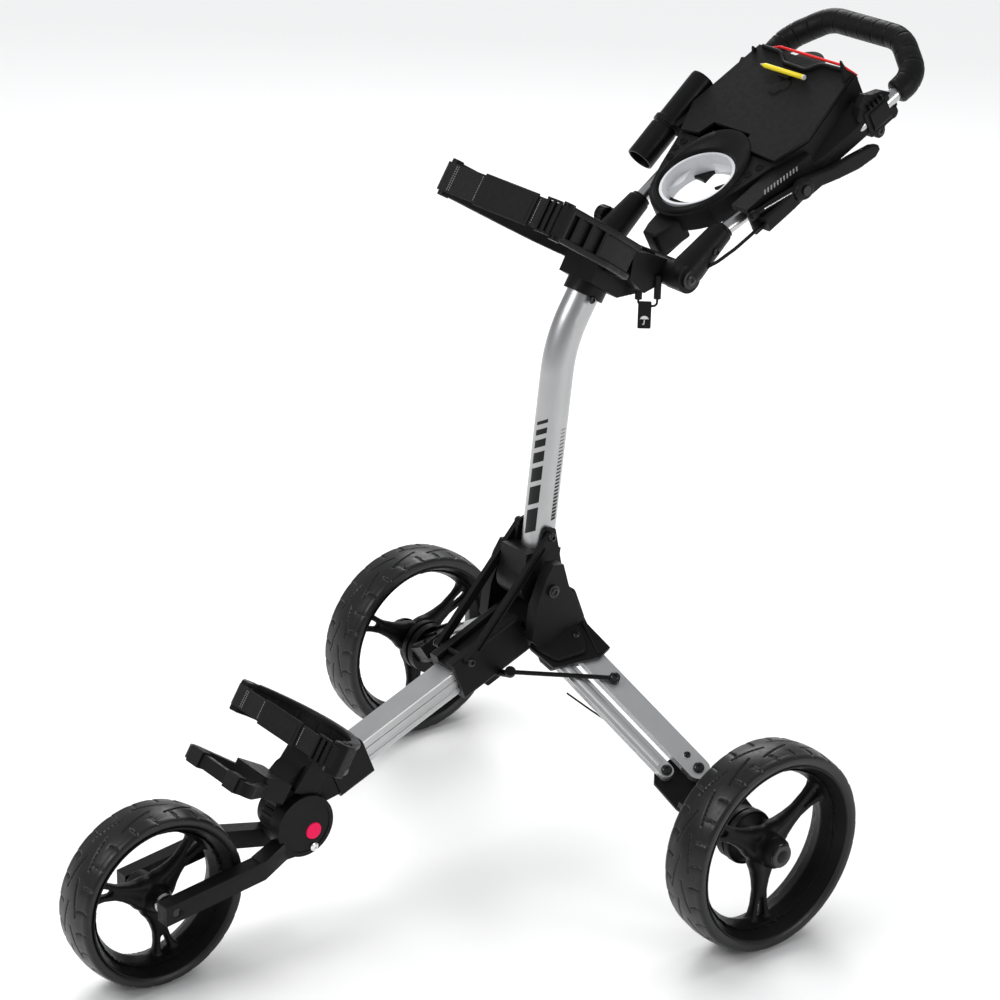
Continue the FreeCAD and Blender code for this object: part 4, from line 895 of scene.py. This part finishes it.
def strap_trim(name, half, y, z0, z1, patch_span, body):
    """What is on a bag strap: a blank patch, a slide buckle, stitching and a catch."""
    patch = Form().box((patch_span[0], y - 2.6, z0 - 2.5), (patch_span[1], y - 0.1, z1 + 2.5))
    piece(name + "_patch", patch, BAG, body, PATCH, slot="rubber", bevel=1.2, segments=3)
    inset = Form().box((patch_span[0] + 6, y - 3.1, z0 + 3), (patch_span[1] - 6, y - 2.5, z1 - 3))
    piece(name + "_patch_field", inset, BAG, body, PATCH, slot="rubber", bevel=0.3)
    buckle = Form()
    for x in (half - 25, half - 13, half - 1.5):
        buckle.box((x - 2.6, y - 4.0, z0 - 3), (x + 2.6, y - 0.4, z1 + 3))
    for z in (z0 - 3.5, z1 + 0.5):
        buckle.box((half - 28, y - 4.0, z), (half + 1, y - 0.2, z + 3.2))
    piece(name + "_buckle", buckle, BAG, body, BLACK, slot="plastic", bevel=0.9)
    thread = Form()
    for x in (-half + 16, -half + 20, patch_span[0] - 5, patch_span[1] + 4):
        count = int((z1 - z0 - 4) / 3.2)
        for step in range(count):
            z = z0 + 3 + 3.2 * step
            thread.box((x - 0.35, y - 0.45, z), (x + 0.35, y - 0.05, z + 2.1))
    piece(name + "_thread", thread, BAG, body, THREAD, slot="strap")
    catch = Form()
    x = -half - 2
    for z in (z0 + 2, (z0 + z1) / 2 - 2, z1 - 6):
        catch.box((x - 2, y + 1, z), (x + 17, y + 5, z + 4))
    piece(name + "_catch", catch, BAG, body, BLACK, slot="plastic", bevel=0.8)


# ---- handle and console -----------------------------------------------------------------------
def grip_form():
    """The rubber grip: short sleeves end to end, with a groove and fine ridges at each joint."""
    half = [(86, -62, -9.7), (86, -6, -1), (118, 240, 0), (128, 354, 9), (70, 397, 26)]
    points = half + [(-x, y, z) for x, y, z in reversed(half)]
    whole = fillet_path(points, (120, 300, 44, 60, 60, 44, 300, 120), 1.6)
    path = [p for p in whole if p.y >= 316.5]
    run = [0.0]
    for a, b in zip(path, path[1:]):
        run.append(run[-1] + (b - a).length)
    total = run[-1]
    pitch = total / round(total / 26)

    def section(i):
        s = run[i]
        t = s % pitch
        gap = min(t, pitch - t)
        radius = 18.0 - 1.3 * (1 - ramp(gap / 1.7))
        if 3 < t < 11:
            radius -= 0.45 * (0.5 + 0.5 * math.cos(2 * math.pi * t / 2.6))
        end = min(s, total - s)
        if end < 4:
            radius -= 2.2 * (1 - ramp(end / 4))
        return circle(radius, 40)

    return Form().sweep(path, section, side=(0, 0, 1))


def dash_top(v):
    """Height of the console's top surface at a distance along it."""
    return 24 + (v * 9 / 120 if v > 0 else v * 6 / 40)


def cup_surround():
    """An egg-shaped raised cowl round the cup opening, its broad end towards the lid."""
    rings = []
    for i in range(96):
        c, s = polar(3.75 * i)
        swell = max(0.0, c) ** 2
        outer = 65 + 25 * swell + 2 * max(0.0, -c)
        crest = 61 + 13 * swell
        ring = []
        for r, lift in ((outer, -5), (outer, 1.0 + 6 * swell), (outer - 1.6, 3.0 + 6 * swell),
                        (crest + 2, 5.2 + 3 * swell), (crest - 1.5, 5.4 + swell), (58, 3.0),
                        (56.6, 0.5), (56.6, -8)):
            v = 48 + r * c
            ring.append((r * s, v, dash_top(v) + lift))
        rings.append(ring)
    return Form().skin(rings, loop=True)


def console_details():
    piece("cup_cowl", cup_surround(), CONSOLE, "handle", CASE, slot="plastic", smooth=55)
    petals = Form()
    claws = Form()
    for i in range(4):
        middle = 90 * i
        outline = []
        for k in range(9):
            a = middle - 31 + 62 * k / 8
            c, s = polar(a)
            outline.append((53.5 * c, 48 + 53.5 * s))
        for k in range(9):
            t = 1 - k / 8
            a = middle - 22 + 44 * t
            c, s = polar(a)
            r = 46 - 9 * math.sin(math.pi * t)
            outline.append((r * c, 48 + r * s))
        petals.prism(outline, 8.5, 11)
    for middle, reach, bend in ((45, 36, 34), (135, 22, 0), (225, 36, 34), (315, 22, 0)):
        outline = []
        for side in (-1, 1):
            row = []
            for k in range(8):
                t = k / 7
                a = middle + side * 19 * (1 - t) ** 0.8 + bend * t * t
                c, s = polar(a)
                r = 53.5 - reach * t
                row.append((r * c, 48 + r * s))
            outline += row if side < 0 else row[::-1]
        claws.prism(outline, -6.6, -1)
    piece("cup_petals", petals, CONSOLE, "handle", LINER, slot="liner", bevel=0.8)
    piece("cup_claws", claws, CONSOLE, "handle", BLACK, slot="plastic", bevel=0.6)
    lips = Form()
    well_shades = Form()
    for u, v in ((-78, 98), (-82, 84), (-75, 67), (78, 98), (71, 81), (66, 63)):
        w = dash_top(v)
        slope = (0, -0.075, 1)
        lips.lathe([(0, 6.2), (1.0, 5.9), (1.2, 4.9), (0.3, 4.3), (-1, 4.3), (-1, 6.2)], (u, v, w),
                   slope, 28, True)
        # painted shade: a near-black disc inside each lip stands in for the shade down the tee hole
        well_shades.lathe([(0.02, 4.4), (0.3, 3.9), (0.35, 0.4)], (u, v, w), slope, 28)
    piece("tee_lips", lips, CONSOLE, "handle", CASE, slot="plastic")
    piece("tee_well_shades", well_shades, CONSOLE, "handle", RECESS_SHADE, slot="plastic")
    edge = fillet_path([(-84, 281, 59.5), (-44, 279, 60), (-26, 264, 58), (22, 262, 58),
                        (36, 279, 60), (84, 281, 59.5)], (16, 14, 14, 16), 3)
    trim = Form().sweep(edge, round_rect(8, 5, 2), side=(0, 0, 1))
    piece("lid_trim", trim, CONSOLE, "console_lid", LID, slot="plastic", bevel=0.8)
    clip = Form()
    for u, v, r in ((-14, 236, 10), (6, 232, 10), (-4, 222, 11)):
        clip.lathe([(-2.5, r), (0.6, r), (1.8, r - 1.6), (2.0, r * 0.4)],
                   (u, v, 31.4 + (v - 100) * 0.12 + 4.8), (0, -0.12, 1), 32)
    clip = melt(clip, 0.9, passes=4, keep=0.5)
    piece("pencil_seat", clip, CONSOLE, "console_lid", LID, slot="plastic")
    dashes = Form()
    for step in range(11):
        v = 61 + 6 * step
        w = 30.6 - (v - 56) * 0.115
        dashes.side_prism([(v, w - 3.4), (v + 2.4, w - 3.4), (v + 4.6, w + 2.6),
                           (v + 2.2, w + 2.6)], 123.0, 123.5)
    piece("panel_marks", dashes, CONSOLE, "handle", THREAD, slot="plastic")
    caliper = Form()
    caliper.rod((129, 30, 18), (131, 64, 13), 4.6, 5.6)
    caliper.rod((131, 62, 13), (132, 104, 4), 6.2, 6.8)
    caliper.rod((129, 24, 19), (129, 34, 17.5), 6.4, 6.4)
    caliper.box((123, 84, -15), (137, 100, 4))
    caliper.box((123, 98, -17), (134, 126, -6))
    caliper = melt(caliper, 1.0, passes=5, keep=0.5)
    piece("brake_housing", caliper, CONSOLE, "handle", SATIN, slot="plastic")
    wire = Form().rod((136.2, 44, 19.5), (138.4, 92, 10), 0.9, 0.9, 12)
    piece("brake_wire", wire, CONSOLE, "handle", SCREW, slot="steel")
    wing = Form()
    for sign, v0 in ((1, 150), (-1, 222)):
        rings = []
        for v, top, out in ((v0, 27, 123), (v0 + 20, 27, 127), (262, 30, 128)):
            ring = [(96, v, top), (out - 9, v, top - 12), (out, v, 9), (out, v, -13),
                    (out - 6, v, -17), (96, v, -17)]
            rings.append([(sign * u, a, b) for u, a, b in ring])
        wing.skin(rings)
    piece("console_wing", wing, CONSOLE, "handle", CASE, slot="plastic", bevel=1.2)
    hook_line = ((258, 46), (265, 60), (270, 84), (272, 88), (275, 70), (283, 58), (288, 46))
    for name, u, tall in (("cord_hook_left", 91, 1.0), ("cord_hook_right", -96, 0.45)):
        hook = Form().side_prism([(v, 46 + (w - 46) * tall) for v, w in hook_line], u, u + 5)
        piece(name, hook, CONSOLE, "handle", CASE, slot="plastic", bevel=1.0)
    grasp = Form()
    grasp.box((107, 250, -20), (131, 300, 20))
    grasp.side_prism([(240, 16), (252, 30), (268, 40), (276, 34), (296, 26), (312, 10), (312, -10),
                      (296, -18), (252, -18)], 112, 127)
    grasp.rod((108, 266, -20), (132, 266, -20), 10)
    grasp.rod((108, 298, -12), (131, 298, -12), 9)
    ribs = Form()
    for v in (262, 270, 278, 286):
        ribs.box((111, v, 18), (133, v + 3.4, 26))
    grasp = melt(grasp, 1.2, passes=4, keep=0.4)
    both_sides("clamp_body", grasp, CONSOLE, "handle", BLACK, slot="plastic")
    both_sides("clamp_ribs", ribs, CONSOLE, "handle", BLACK, slot="plastic", bevel=0.8)
    bolts = Form()
    bolt(bolts, (131.4, 266, -20), (1, 0, 0), 5.5, 2.4)
    bolt(bolts, (128, 286, 6), (1, 0, 0), 5.0, 6)
    both_sides("clamp_bolts", bolts, CONSOLE, "handle", BOLT, slot="steel_dark")
    outline = [(-25, -10), (25, -10), (20, -40), (13, -57), (-13, -57), (-20, -40)]
    post = Form().prism(outline, -22, 12)
    piece("cup_post", post, CONSOLE, "handle", BLACK, slot="plastic", bevel=4.0, segments=3)
    outline = [(94, 6), (104, 13), (120, 14), (140, 6), (166, -4), (200, -11), (238, -21),
               (249, -28), (249, -36), (238, -41), (206, -37), (170, -26), (140, -15), (112, -14),
               (96, -8)]
    blade = Form().side_prism(outline, 131, 141.5)
    blade.lathe([(128, 13.5), (143, 13.5)], (0, 112, 0), (1, 0, 0), 40)
    blade = melt(blade, 1.1, passes=8, keep=0.5)
    piece("lever_blade", blade, CONSOLE, "brake_lever", SATIN, slot="plastic",
          stands_for=["brake_lever"])
    caps = Form()
    bolt(caps, (145, 112, 0), (1, 0, 0), 6.0, 1.0)
    piece("lever_screw", caps, CONSOLE, "brake_lever", BOLT, slot="steel_dark")


def make_handle():
    dress(["handle_tube"], ALU_HANDLE, bevel=0)
    dress(["handle_sleeves"], BLACK, bevel=1.6, segments=3)
    dress(["handle_pins"], BOLT, bevel=0.8)
    dress(["console_body"], CASE, bevel=1.2, segments=3)
    dress(["console_lid"], LID, bevel=1.6, segments=3)
    dress(["cup_ring"], LINER, bevel=0.6)
    dress(["clamp_knob"], BLACK, bevel=0.8)
    dress(["elastic_cord"], RED, bevel=0)
    dress(["pencil"], YELLOW, bevel=0)
    dress(["lower_strap", "upper_strap"], WEB, bevel=0.4)
    piece("grip", grip_form(), CONSOLE, "handle", RUBBER, slot="rubber", smooth=60,
          stands_for=["handle_grip"])
    profile = [(-8, 15), (-6, 19), (0, 21.5), (16, 22), (44, 19.5), (72, 17.2), (84, 16.4),
               (86, 14.8), (86, 10.2), (-8, 10.2)]
    sleeve = Form().lathe(profile, (86, 0, 0), (0, 84, 13), 56, closed=True)
    both_sides("sleeve", sleeve, HANDLE, "handle", BLACK, slot="plastic", bevel=0.8)
    screw = Form()
    bolt(screw, (106.4, 52, 8), (1, 0, 0), 5.6, 2.4)
    bolt(screw, (105, 0, 0), (1, 0, 0), 8.0, 2.6)
    both_sides("sleeve_screw", screw, HANDLE, "handle", BOLT, slot="steel_dark")
    profile = [(-0.4, 17.4), (0.4, 20.3), (56, 20.3), (58, 19.0), (61, 19.0), (61.5, 21.6),
               (69.5, 21.6), (70, 18.8), (146, 18.4), (151, 17.6), (151, 3), (144, 3), (144, 16.6),
               (2, 16.6)]
    tube = Form().lathe(profile, (-139, 57, 12), (0, 148, 33), 64, closed=True)
    piece("umbrella_holder", tube, CONSOLE, "handle", SATIN, slot="plastic", bevel=0.6,
          stands_for=["umbrella_tube"])
    ends = Form().rod((31.6, 248, 60.2), (33.2, 248, 60.2), 3.7, 3.4)
    piece("pencil_end", ends, CONSOLE, "console_lid", MARK, slot="pencil")
    lead = Form().rod((-56.6, 248, 60.2), (-51, 248, 60.2), 0.7, 2.4)
    piece("pencil_point", lead, CONSOLE, "console_lid", THREAD, slot="pencil")
    console_details()


make_camera()
make_studio()
make_wheels()
make_frame()
make_hub_details()
make_fork()
make_mast()
make_handle()
